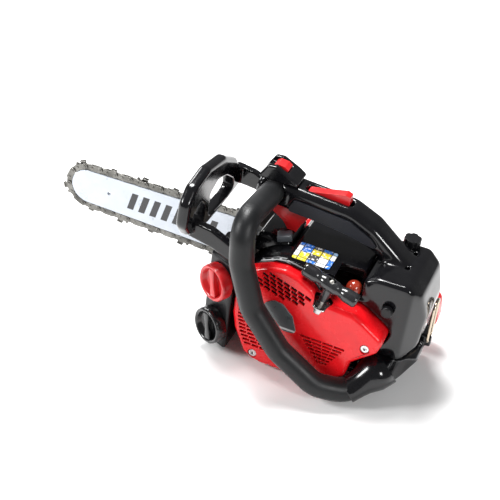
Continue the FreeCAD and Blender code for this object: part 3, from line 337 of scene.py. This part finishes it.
handle_boot()
paint(dark_nylon, "side_housing")
red_cap = finish("red cap plastic", (0.62, 0.012, 0.014), (0.45, 0.007, 0.01), (0.85, 0.1, 0.08), 0.34,
                 coat=0.3)
black_cap = finish("black cap plastic", (0.007, 0.007, 0.008), (0.004, 0.004, 0.005),
                   (0.05, 0.05, 0.05), 0.22, coat=0.2)
CAP_RADIUS = 0.020
CAP_TALL = 0.013
CAP_AXIS = Vector((-18, -33.5, 0)).normalized()


def cap(node, material):
    """A dished cap with a thick rounded rim and a bridge across the dish to turn it by."""
    profile = [(0, 0.0062), (0.0136, 0.0062), (0.0148, 0.0072), (0.0156, 0.0112), (0.0168, 0.0127),
               (0.0182, 0.0130), (0.0194, 0.0122), (CAP_RADIUS, 0.0106), (CAP_RADIUS, 0.0020),
               (0.0194, 0.0005), (0.0184, 0), (0.0146, 0), (0.0144, 0.0050), (0, 0.0050)]
    shape = bmesh.new()
    line = [shape.verts.new((r, 0, z)) for r, z in profile]
    edges = [shape.edges.new(pair) for pair in zip(line, line[1:])]
    bmesh.ops.spin(shape, geom=line + edges, cent=(0, 0, 0), axis=(0, 0, 1), angle=2 * math.pi,
                   steps=64, use_merge=True)
    bmesh.ops.remove_doubles(shape, verts=shape.verts, dist=1e-6)
    bmesh.ops.recalc_face_normals(shape, faces=shape.faces)
    notches = [v for v in shape.verts if v.co.xy.length > 0.0192]
    for vert in notches:
        around = math.atan2(vert.co.y, vert.co.x)
        vert.co.xy *= 1 - 0.035 * max(0.0, math.cos(10 * around)) ** 6
    bridge = bmesh.ops.create_cube(shape, size=1)["verts"]
    bmesh.ops.scale(shape, vec=(0.031, 0.0078, 0.0074), verts=bridge)
    bmesh.ops.translate(shape, vec=(0, 0, 0.0087), verts=bridge)
    long_edges = list({e for v in bridge for e in v.link_edges
                       if abs((e.verts[0].co - e.verts[1].co).x) > 0.01})
    bmesh.ops.subdivide_edges(shape, edges=long_edges, cuts=6, use_grid_fill=True)
    inner = {v for v in shape.verts
             if abs(v.co.y) < 0.0040 and abs(v.co.x) < 0.0160 and 0.0049 < v.co.z < 0.0125}
    waist = [v for v in inner if abs(abs(v.co.y) - 0.0039) < 1e-4]
    for vert in waist:
        vert.co.y *= 0.62 + 0.38 * min(1.0, abs(vert.co.x) / 0.012)
    sharp = [e for e in shape.edges if e.is_manifold and e.calc_face_angle(0) > 1.0
             and all(v in inner for v in e.verts)]
    bmesh.ops.bevel(shape, geom=sharp, offset=0.0012, affect="EDGES", segments=3, profile=0.5,
                    material=-1)
    low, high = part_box(node)
    middle = (low + high) / 2
    seat = middle - CAP_AXIS * (CAP_TALL / 2)
    upright = Vector((0, 0, 1))
    turn = Matrix((upright, CAP_AXIS.cross(upright), CAP_AXIS)).transposed()
    tilt = Matrix.Rotation(math.radians(14), 3, CAP_AXIS)
    bmesh.ops.transform(shape, matrix=Matrix.Translation(seat) @ (tilt @ turn).to_4x4(),
                        verts=shape.verts)
    piece = show(node + "_dished", shape, node, material)
    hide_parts(node)


cap("fuel_cap", red_cap)
cap("oil_cap", black_cap)


# ---- starter ----
# The red nylon starter cover holds the pulley, the spring and the rope, and four screws hold it
# to the crankcase. The rope comes out through a plated guide to a moulded grip.
red_shell = finish("bright red shell", (0.72, 0.008, 0.012), (0.6, 0.004, 0.008), (0.95, 0.12, 0.1),
                   0.26, grain=1400.0, depth=0.000012, wear=0.35, scuffs=0.06, coat=0.15, shine=0.35)
moulded("clutch_shell", ["clutch_cover"], "frame", red_shell, rounds=20)


def vented_shell():
    """The starter cover with its vent slots opened out to thin slanted bars, as moulded."""
    shape = bmesh.new()
    shape.from_mesh(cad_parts["starter_cover"].data)
    bmesh.ops.remove_doubles(shape, verts=shape.verts, dist=1e-6)
    face_y = min(v.co.y for v in shape.verts)
    walls = {f for f in shape.faces if abs(f.normal.y) < 0.05
             and min(v.co.y for v in f.verts) < face_y + VENT_SKIN
             and max(v.co.y for v in f.verts) < face_y + VENT_DEPTH}
    while walls:
        slot = {walls.pop()}
        fresh = set(slot)
        while fresh:
            near = {g for f in fresh for e in f.edges for g in e.link_faces if g in walls}
            walls -= near
            slot |= near
            fresh = near
        verts = {v for f in slot for v in f.verts}
        xs = [v.co.x for v in verts]
        zs = [v.co.z for v in verts]
        if max(xs) - min(xs) > VENT_LIMIT or max(zs) - min(zs) > VENT_LIMIT or len(slot) < 6:
            continue
        middle_z = (max(zs) + min(zs)) / 2
        middle_x = (max(xs) + min(xs)) / 2
        for vert in verts:
            vert.co.z = middle_z + (vert.co.z - middle_z) * VENT_OPEN
            vert.co.x = middle_x + (vert.co.x - middle_x) * VENT_WIDE
    piece = show("starter_shell", shape, "frame", red_shell)
    for face in piece.data.polygons:
        face.use_smooth = False
    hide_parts("starter_cover")


VENT_SKIN = 0.0015
VENT_DEPTH = 0.009
VENT_LIMIT = 0.014
VENT_OPEN = 1.3
VENT_WIDE = 1.08
vented_shell()
paint(dark_nylon, "starter_pulley")
spring_steel = finish("blued spring steel", (0.2, 0.22, 0.28), (0.12, 0.13, 0.17), (0.5, 0.52, 0.56),
                      0.3, metallic=1.0)
paint(spring_steel, "recoil_spring")
zinc_plating = finish("zinc plating", (0.68, 0.68, 0.67), (0.5, 0.5, 0.5), (0.9, 0.9, 0.9), 0.25,
                      metallic=1.0)
paint(zinc_plating, "case_screws", "rope_guide", "bar_studs", "bar_nuts")
braid = finish("rope braid", (0.75, 0.73, 0.68), (0.5, 0.48, 0.44), (0.85, 0.84, 0.8), 0.85,
               grain=2600.0, depth=0.0003, sheen=0.3)
paint(braid, "starter_rope")
grip_plastic = finish("grip plastic", (0.016, 0.016, 0.018), (0.01, 0.01, 0.011), (0.1, 0.1, 0.1), 0.24,
                      coat=0.4)
paint(grip_plastic, "starter_grip")


def rope_knot():
    """The rope's stopper knot, tied in the hole in the middle of the grip."""
    low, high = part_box("starter_rope")
    pull = Vector((0.21, -0.1, 0.97)).normalized()
    centre = (low + high) / 2 + pull * ((high.z - low.z) / 2 / pull.z)
    shape = bmesh.new()
    for turn, tilt in enumerate((0.35, -0.5, 1.2)):
        ring = bmesh.ops.create_circle(shape, segments=10, radius=0.0011)["verts"]
        bmesh.ops.rotate(shape, verts=ring, cent=(0, 0, 0), matrix=Matrix.Rotation(math.pi / 2, 3, "X"))
        bmesh.ops.translate(shape, verts=ring, vec=(0.0019, 0, 0))
        edges = list({e for v in ring for e in v.link_edges})
        bmesh.ops.spin(shape, geom=ring + edges, cent=(0, 0, 0), axis=(0, 0, 1), angle=2 * math.pi,
                       steps=20, use_merge=True)
        loop = [v for v in shape.verts if not v.tag]
        bmesh.ops.rotate(shape, verts=loop, cent=(0, 0, 0), matrix=Matrix.Rotation(tilt, 3, "X"))
        bmesh.ops.translate(shape, verts=loop, vec=(0, 0, 0.0009 * turn))
        for vert in loop:
            vert.tag = True
    bmesh.ops.remove_doubles(shape, verts=shape.verts, dist=1e-6)
    bmesh.ops.recalc_face_normals(shape, faces=shape.faces)
    upright = pull.to_track_quat("Z", "Y").to_matrix().to_4x4()
    bmesh.ops.transform(shape, matrix=Matrix.Translation(centre + pull * 0.001) @ upright,
                        verts=shape.verts)
    show("rope_knot", shape, "grip", braid)


rope_knot()
badge_film = finish("badge film", (0.075, 0.08, 0.085), (0.055, 0.06, 0.062), (0.5, 0.5, 0.52), 0.3,
                    wear=0.9, coat=0.3)
paint(badge_film, "starter_badge")


def badge_stripe(material):
    """Bright stripe printed across the badge's lower end."""
    tree = material.node_tree
    link = tree.links.new
    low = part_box("starter_badge")[0]
    shader = tree.nodes["Principled BSDF"]
    grey = shader.inputs["Base Color"].links[0].from_socket
    place = add(tree, "ShaderNodeTexCoord")
    apart = add(tree, "ShaderNodeSeparateXYZ")
    link(place.outputs["Object"], apart.inputs["Vector"])
    stripe = add(tree, "ShaderNodeMath", {1: low.z + 0.0032, 2: 0.0011}, operation="COMPARE")
    link(apart.outputs["Z"], stripe.inputs[0])
    printed = add(tree, "ShaderNodeMix", {7: (0.6, 0.6, 0.6, 1)}, data_type="RGBA")
    link(stripe.outputs["Value"], printed.inputs["Factor"])
    link(grey, printed.inputs[6])
    link(printed.outputs[2], shader.inputs["Base Color"])


badge_stripe(badge_film)


# ---- top cover, rear housing and label ----
# Glossy black nylon shells over the engine, the carburettor and the filter. The rear hood runs
# up into the top handle, and the printed label is stuck on the cover.
paint(gloss_black, "top_cover")
hood = moulded("rear_hood_and_handle", ["rear_housing", "top_handle"], "frame", gloss_black,
               rounds=70)
BULB_ROOM = 0.0006
BULB_TRAVEL = 0.0026


def cleared_for_bulb(piece):
    """Opens the hood's seat round the purge bulb, so that the bulb can be pressed in."""
    low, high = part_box("purge_bulb")
    axis = (low + high) / 2
    wide = (high.x - low.x) / 2 + BULB_ROOM
    for vert in piece.data.vertices:
        away = (vert.co - axis).xy
        if away.length < wide and low.z - BULB_TRAVEL < vert.co.z < high.z:
            if away.length > wide - 2 * SKIN:
                vert.co.xy = axis.xy + away.normalized() * wide
            else:
                vert.co.z = low.z - BULB_TRAVEL


cleared_for_bulb(hood)
moulded("switch_pod", ["switch_housing"], "frame", gloss_black, skin=0.0008, rounds=4)
moulded("front_hand_guard", ["hand_guard"], "guard", gloss_black, skin=0.0009, rounds=9)

DOME = [(-86, 96), (-78, 110), (-66, 120), (-50, 127.6), (-36, 130), (-23, 127.6), (-10, 120.5),
        (-1, 111)]
SKIRT_WIDE = 0.030


def dome_trim():
    """Black skirt of the top cover, which lies over the starter's dome and ends in a printed band."""
    shape = bmesh.new()
    line = [shape.verts.new((x / 1000, -0.0595, (z + 0.9) / 1000)) for x, z in DOME]
    edges = [shape.edges.new(pair) for pair in zip(line, line[1:])]
    bmesh.ops.subdivide_edges(shape, edges=edges, cuts=4, smooth=0.4)
    wide = bmesh.ops.extrude_edge_only(shape, edges=list(shape.edges))["geom"]
    bmesh.ops.translate(shape, vec=(0, SKIRT_WIDE, 0),
                        verts=[g for g in wide if isinstance(g, bmesh.types.BMVert)])
    bmesh.ops.recalc_face_normals(shape, faces=shape.faces)
    if sum(f.normal.z for f in shape.faces) < 0:
        bmesh.ops.reverse_faces(shape, faces=shape.faces)
    piece = show("dome_skirt", shape, "frame", gloss_black)
    wall = piece.modifiers.new("wall", "SOLIDIFY")
    wall.thickness = 0.0014
    wall.offset = 1
    edge = piece.modifiers.new("edge", "BEVEL")
    edge.width = 0.0004
    edge.segments = 2
    settled(piece)


dome_trim()


def printed_band():
    """Thin silver film with short dark dashes, stuck along the skirt's outer edge."""
    shape = bmesh.new()
    line = [shape.verts.new((x / 1000, BAND_Y, (z + 2.6) / 1000)) for x, z in DOME[2:]]
    edges = [shape.edges.new(pair) for pair in zip(line, line[1:])]
    bmesh.ops.subdivide_edges(shape, edges=edges, cuts=6, smooth=0.4)
    wide = bmesh.ops.extrude_edge_only(shape, edges=list(shape.edges))["geom"]
    bmesh.ops.translate(shape, vec=(0, BAND_WIDE, 0),
                        verts=[g for g in wide if isinstance(g, bmesh.types.BMVert)])
    bmesh.ops.recalc_face_normals(shape, faces=shape.faces)
    if sum(f.normal.z for f in shape.faces) < 0:
        bmesh.ops.reverse_faces(shape, faces=shape.faces)
    piece = show("printed_band", shape, "frame", band_film())
    film = piece.modifiers.new("film", "SOLIDIFY")
    film.thickness = 0.0003
    film.offset = 1
    settled(piece)


BAND_Y = -0.0585
BAND_WIDE = 0.0062
DASH_RUN = 0.0085
DASH_GAP = 0.0022


def band_film():
    """Silver film whose dashes are printed black along the middle of the band."""
    material = finish("silver band film", (0.42, 0.43, 0.44), (0.34, 0.35, 0.36), (0.6, 0.6, 0.6),
                      0.35, wear=0.3)
    tree = material.node_tree
    link = tree.links.new
    shader = tree.nodes["Principled BSDF"]
    silver = shader.inputs["Base Color"].links[0].from_socket
    place = add(tree, "ShaderNodeTexCoord")
    apart = add(tree, "ShaderNodeSeparateXYZ")
    link(place.outputs["Object"], apart.inputs["Vector"])
    shifted = add(tree, "ShaderNodeMath", {1: 1.0}, operation="ADD")
    link(apart.outputs["X"], shifted.inputs[0])
    run = add(tree, "ShaderNodeMath", {1: DASH_RUN}, operation="MODULO")
    link(shifted.outputs["Value"], run.inputs[0])
    gap = add(tree, "ShaderNodeMath", {1: DASH_GAP}, operation="GREATER_THAN")
    link(run.outputs["Value"], gap.inputs[0])
    middle = add(tree, "ShaderNodeMath", {1: BAND_Y + BAND_WIDE / 2, 2: 0.0013}, operation="COMPARE")
    link(apart.outputs["Y"], middle.inputs[0])
    dash = add(tree, "ShaderNodeMath", operation="MULTIPLY")
    link(gap.outputs["Value"], dash.inputs[0])
    link(middle.outputs["Value"], dash.inputs[1])
    printed = add(tree, "ShaderNodeMix", {7: (0.015, 0.015, 0.016, 1)}, data_type="RGBA")
    link(dash.outputs["Value"], printed.inputs["Factor"])
    link(silver, printed.inputs[6])
    link(printed.outputs[2], shader.inputs["Base Color"])
    return material


printed_band()


def cylinder_shroud():
    """Moulded shroud over the cylinder's fins, with the ignition plug's square cover on it."""
    shape = bmesh.new()
    corners = bmesh.ops.create_cube(shape, size=1)["verts"]
    bmesh.ops.scale(shape, vec=(0.040, 0.060, 0.022), verts=corners)
    bmesh.ops.translate(shape, vec=(-0.0655, 0.000, 0.1215), verts=corners)
    for vert in corners:
        if vert.co.z > 0.12:
            vert.co.y *= 0.86
            vert.co.x = -0.0655 + (vert.co.x + 0.0655) * 0.86
    bmesh.ops.bevel(shape, geom=list(shape.edges), offset=0.005, affect="EDGES", segments=4,
                    profile=0.5, material=-1)
    show("cylinder_shroud", shape, "frame", gloss_black)
    shape = bmesh.new()
    corners = bmesh.ops.create_cube(shape, size=1)["verts"]
    bmesh.ops.scale(shape, vec=(0.015, 0.013, 0.006), verts=corners)
    top = [f for f in shape.faces if f.normal.z > 0.9]
    bmesh.ops.inset_region(shape, faces=top, thickness=0.0018, depth=0.0008)
    bmesh.ops.bevel(shape, geom=list(shape.edges), offset=0.0006, affect="EDGES", segments=2,
                    profile=0.5, material=-1)
    turn = Matrix.Rotation(math.radians(-12), 4, "Y") @ Matrix.Rotation(math.radians(18), 4, "Z")
    bmesh.ops.transform(shape, matrix=Matrix.Translation((-0.056, -0.022, 0.1345)) @ turn,
                        verts=shape.verts)
    show("plug_cover", shape, "frame", pod_grey)


pod_grey = finish("pod grey nylon", (0.06, 0.066, 0.075), (0.045, 0.05, 0.058), (0.2, 0.2, 0.22), 0.42)
cylinder_shroud()
paint(dark_nylon, "housing_knob")


def pictogram_film():
    """White film with two rows of plain blue, yellow, white and black panels and small marks."""
    material = bpy.data.materials.new("pictogram film")
    material.use_nodes = True
    tree = material.node_tree
    link = tree.links.new
    shader = tree.nodes["Principled BSDF"]
    shader.inputs["Coat Weight"].default_value = 0.4
    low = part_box("instruction_label")[0]
    place = add(tree, "ShaderNodeTexCoord")
    per_metre = 100
    centred = add(tree, "ShaderNodeMapping", {"Location": (-low.x * per_metre, -low.y * per_metre, 0),
                                              "Scale": (per_metre, per_metre, 0)})
    link(place.outputs["Object"], centred.inputs["Vector"])
    panels = add(tree, "ShaderNodeTexVoronoi", {"Scale": 1.0, "Randomness": 0.0}, distance="CHEBYCHEV")
    link(centred.outputs["Vector"], panels.inputs["Vector"])
    spread = add(tree, "ShaderNodeSeparateColor")
    link(panels.outputs["Color"], spread.inputs["Color"])
    inks = add(tree, "ShaderNodeValToRGB")
    inks.color_ramp.interpolation = "CONSTANT"
    inks.color_ramp.elements[0].color = (0.02, 0.16, 0.62, 1)
    inks.color_ramp.elements[1].position = 0.3
    inks.color_ramp.elements[1].color = (0.82, 0.83, 0.84, 1)
    for at, ink in ((0.55, (0.75, 0.62, 0.03, 1)), (0.75, (0.3, 0.5, 0.75, 1)),
                    (0.9, (0.05, 0.05, 0.05, 1))):
        inks.color_ramp.elements.new(at).color = ink
    link(spread.outputs["Red"], inks.inputs["Fac"])
    marks = add(tree, "ShaderNodeTexNoise", {"Scale": 3.4, "Detail": 3.0})
    link(centred.outputs["Vector"], marks.inputs["Vector"])
    stroke = add(tree, "ShaderNodeMapRange", {"From Min": 0.56, "From Max": 0.6})
    link(marks.outputs["Fac"], stroke.inputs["Value"])
    frame_line = add(tree, "ShaderNodeMapRange", {"From Min": 0.44, "From Max": 0.46})
    link(panels.outputs["Distance"], frame_line.inputs["Value"])
    marked = add(tree, "ShaderNodeMix", {7: (0.9, 0.9, 0.9, 1)}, data_type="RGBA")
    link(stroke.outputs["Result"], marked.inputs["Factor"])
    link(inks.outputs["Color"], marked.inputs[6])
    framed = add(tree, "ShaderNodeMix", {7: (0.03, 0.03, 0.03, 1)}, data_type="RGBA")
    link(frame_line.outputs["Result"], framed.inputs["Factor"])
    link(marked.outputs[2], framed.inputs[6])
    link(framed.outputs[2], shader.inputs["Base Color"])
    worn = add(tree, "ShaderNodeTexNoise", {"Scale": 220.0})
    link(place.outputs["Object"], worn.inputs["Vector"])
    rough = add(tree, "ShaderNodeMapRange", {"To Min": 0.2, "To Max": 0.45})
    link(worn.outputs["Fac"], rough.inputs["Value"])
    link(rough.outputs["Result"], shader.inputs["Roughness"])
    return material


paint(pictogram_film(), "instruction_label")


# ---- handles ----
# The front handle is a steel tube in a rubber sleeve, bolted under the top handle and pressed
# into the base. The red controls are moulded levers that pivot in the top handle.
sleeve_rubber = finish("sleeve rubber", (0.005, 0.0055, 0.0065), (0.003, 0.0035, 0.004),
                       (0.02, 0.02, 0.02), 0.4, grain=2000.0, depth=0.00008, sheen=0.05, shine=0.3)
grip_rubber = finish("grip rubber", (0.010, 0.012, 0.018), (0.007, 0.008, 0.012), (0.03, 0.035, 0.05),
                     0.45, grain=1700.0, depth=0.00012, sheen=0.05, shine=0.3)
paint(sleeve_rubber, "front_handle")
paint(grip_rubber, "handle_grip")
paint(red_cap, "stop_switch")
paint(red_cap, "throttle_lockout")
paint(red_cap, "throttle_trigger")


# ---- bar and chain ----
# A laminated steel bar in pale lacquer, clamped on two studs, with a chromed low-profile chain
# of forty drive links riveted round it.
bar_lacquer = finish("bar lacquer", (0.56, 0.6, 0.66), (0.5, 0.54, 0.6), (0.3, 0.3, 0.31), 0.32,
                     grain=700.0, depth=0.00002, wear=0.9, scuffs=0.2, metallic=0.15, coat=0.2)


def printed_bars(material):
    """Screen print on the lacquer: a plain row of slanted dark bars, read from the bar's own place."""
    tree = material.node_tree
    link = tree.links.new
    shader = tree.nodes["Principled BSDF"]
    lacquer = shader.inputs["Base Color"].links[0].from_socket
    place = add(tree, "ShaderNodeTexCoord")
    slanted = add(tree, "ShaderNodeMapping", {"Location": (PRINT_START, 0, PRINT_LOW)},
                  vector_type="TEXTURE")
    apart = add(tree, "ShaderNodeSeparateXYZ")
    link(place.outputs["Object"], slanted.inputs["Vector"])
    link(slanted.outputs["Vector"], apart.inputs["Vector"])
    lean = add(tree, "ShaderNodeMath", {1: 0.25}, operation="MULTIPLY")
    link(apart.outputs["Z"], lean.inputs[0])
    along = add(tree, "ShaderNodeMath", operation="SUBTRACT")
    link(apart.outputs["X"], along.inputs[0])
    link(lean.outputs["Value"], along.inputs[1])
    pitch = add(tree, "ShaderNodeMath", {1: PRINT_PITCH}, operation="MODULO")
    link(along.outputs["Value"], pitch.inputs[0])
    masks = []
    for source, edge, mode in ((along, 0.0, "GREATER_THAN"), (along, PRINT_LENGTH, "LESS_THAN"),
                               (pitch, PRINT_BAR, "LESS_THAN")):
        masks.append(add(tree, "ShaderNodeMath", {1: edge}, operation=mode))
        link(source.outputs["Value"], masks[-1].inputs[0])
    for edge, mode in ((0.0, "GREATER_THAN"), (PRINT_TALL, "LESS_THAN")):
        masks.append(add(tree, "ShaderNodeMath", {1: edge}, operation=mode))
        link(apart.outputs["Z"], masks[-1].inputs[0])
    whole = masks[0]
    for mask in masks[1:]:
        both = add(tree, "ShaderNodeMath", operation="MULTIPLY")
        link(whole.outputs["Value"], both.inputs[0])
        link(mask.outputs["Value"], both.inputs[1])
        whole = both
    printed = add(tree, "ShaderNodeMix", {7: (0.02, 0.02, 0.022, 1)}, data_type="RGBA")
    link(whole.outputs["Value"], printed.inputs["Factor"])
    link(lacquer, printed.inputs[6])
    link(printed.outputs[2], shader.inputs["Base Color"])


PRINT_START = -0.262
PRINT_LOW = 0.057
PRINT_TALL = 0.022
PRINT_LENGTH = 0.112
PRINT_PITCH = 0.014
PRINT_BAR = 0.0078
printed_bars(bar_lacquer)
chain_steel = finish("chain steel", (0.22, 0.215, 0.2), (0.07, 0.068, 0.062), (0.6, 0.58, 0.55), 0.34,
                     grain=1500.0, depth=0.00003, wear=0.9, metallic=1.0)
paint(bar_lacquer, "guide_bar")
paint(chain_steel, "drive_links", "tie_straps", "cutters", "chain_rivets")


# ---- purge bulb and lanyard ring ----
# A soft orange-red rubber bulb, pressed into its seat in front of the rear hood, and a plated
# wire ring bent round the rear lug.
bulb_rubber = finish("bulb rubber", (0.32, 0.03, 0.012), (0.16, 0.012, 0.006), (0.7, 0.2, 0.1), 0.16,
                     coat=0.6)
paint(bulb_rubber, "purge_bulb")
champagne_wire = finish("champagne plated wire", (0.62, 0.52, 0.4), (0.5, 0.42, 0.33), (0.9, 0.8, 0.68),
                        0.22, metallic=1.0)
paint(champagne_wire, "lanyard_ring")


# ---- stage ----
# A white floor under the saw, with square soft lights above, left, right and behind, and a
# bright backdrop that only the camera sees.
FLOOR_HALF = 3.0


def paper(name, colour):
    material = bpy.data.materials.new(name)
    material.use_nodes = True
    shader = material.node_tree.nodes["Principled BSDF"]
    shader.inputs["Base Color"].default_value = (*colour, 1)
    shader.inputs["Roughness"].default_value = 0.9
    shader.inputs["Specular IOR Level"].default_value = 0.1
    return material


def sweep():
    shape = bmesh.new()
    bmesh.ops.create_grid(shape, x_segments=8, y_segments=8, size=FLOOR_HALF)
    mesh = bpy.data.meshes.new("floor")
    shape.to_mesh(mesh)
    shape.free()
    floor = bpy.data.objects.new("floor", mesh)
    bpy.context.scene.collection.objects.link(floor)
    floor.location.z = cad_box[0][2] - 0.0002
    mesh.materials.append(paper("white floor paper", (0.88, 0.88, 0.88)))


sweep()


def soft_light(name, where, size, power, aim):
    """A square soft box that faces the saw."""
    data = bpy.data.lights.new(name, "AREA")
    data.shape = "SQUARE"
    data.size = size
    data.energy = power
    lamp = bpy.data.objects.new(name, data)
    bpy.context.scene.collection.objects.link(lamp)
    lamp.location = where
    lamp.rotation_euler = (Vector(aim) - Vector(where)).to_track_quat("-Z", "Y").to_euler()


MIDDLE = (-0.1, 0.0, 0.09)
soft_light("overhead box", (-0.5, 0.3, 1.5), 0.55, 40.0, MIDDLE)
soft_light("left box", (-1.2, -0.9, 0.9), 0.4, 20.0, MIDDLE)
soft_light("right box", (1.2, -0.8, 0.9), 0.35, 13.0, MIDDLE)
soft_light("rear box", (-1.5, 1.1, 1.3), 0.6, 16.0, MIDDLE)
world = bpy.data.worlds.new("studio air")
world.use_nodes = True
backdrop = add(world.node_tree, "ShaderNodeBackground", {"Color": (1, 1, 1, 1), "Strength": 0.95})
seen = add(world.node_tree, "ShaderNodeLightPath")
either = add(world.node_tree, "ShaderNodeMixShader")
air = world.node_tree.nodes["Background"]
sky = world.node_tree.nodes["World Output"]
air.inputs["Color"].default_value = (1, 1, 1, 1)
air.inputs["Strength"].default_value = 0.2
world.node_tree.links.new(seen.outputs["Is Camera Ray"], either.inputs["Fac"])
world.node_tree.links.new(air.outputs["Background"], either.inputs[1])
world.node_tree.links.new(backdrop.outputs["Background"], either.inputs[2])
world.node_tree.links.new(either.outputs["Shader"], sky.inputs["Surface"])
bpy.context.scene.world = world
bpy.context.scene.view_settings.view_transform = "Standard"


# ---- camera ----
# A long lens from the saw's left rear and above, tipped a little about its own axis, with no
# shift and no depth of field.
AZIMUTH, ELEVATION, ROLL = map(math.radians, (17.582, 35.546, 8.489))
DISTANCE = 1.3
TARGET = Vector((-0.097478, 0, 0.087219))


def camera():
    back = Vector((math.sin(AZIMUTH) * math.cos(ELEVATION), -math.cos(AZIMUTH) * math.cos(ELEVATION),
                   math.sin(ELEVATION)))
    right = Vector((math.cos(AZIMUTH), math.sin(AZIMUTH), 0))
    up = back.cross(right)
    side = right * math.cos(ROLL) + up * math.sin(ROLL)
    top = up * math.cos(ROLL) - right * math.sin(ROLL)
    data = bpy.data.cameras.new("camera")
    data.lens = 88.43
    data.sensor_width = 36.0
    data.clip_start = 0.05
    eye = bpy.data.objects.new("camera", data)
    bpy.context.scene.collection.objects.link(eye)
    turn = Matrix((side, top, back)).transposed()
    eye.matrix_world = Matrix.Translation(TARGET + back * DISTANCE) @ turn.to_4x4()
    bpy.context.scene.camera = eye


camera()
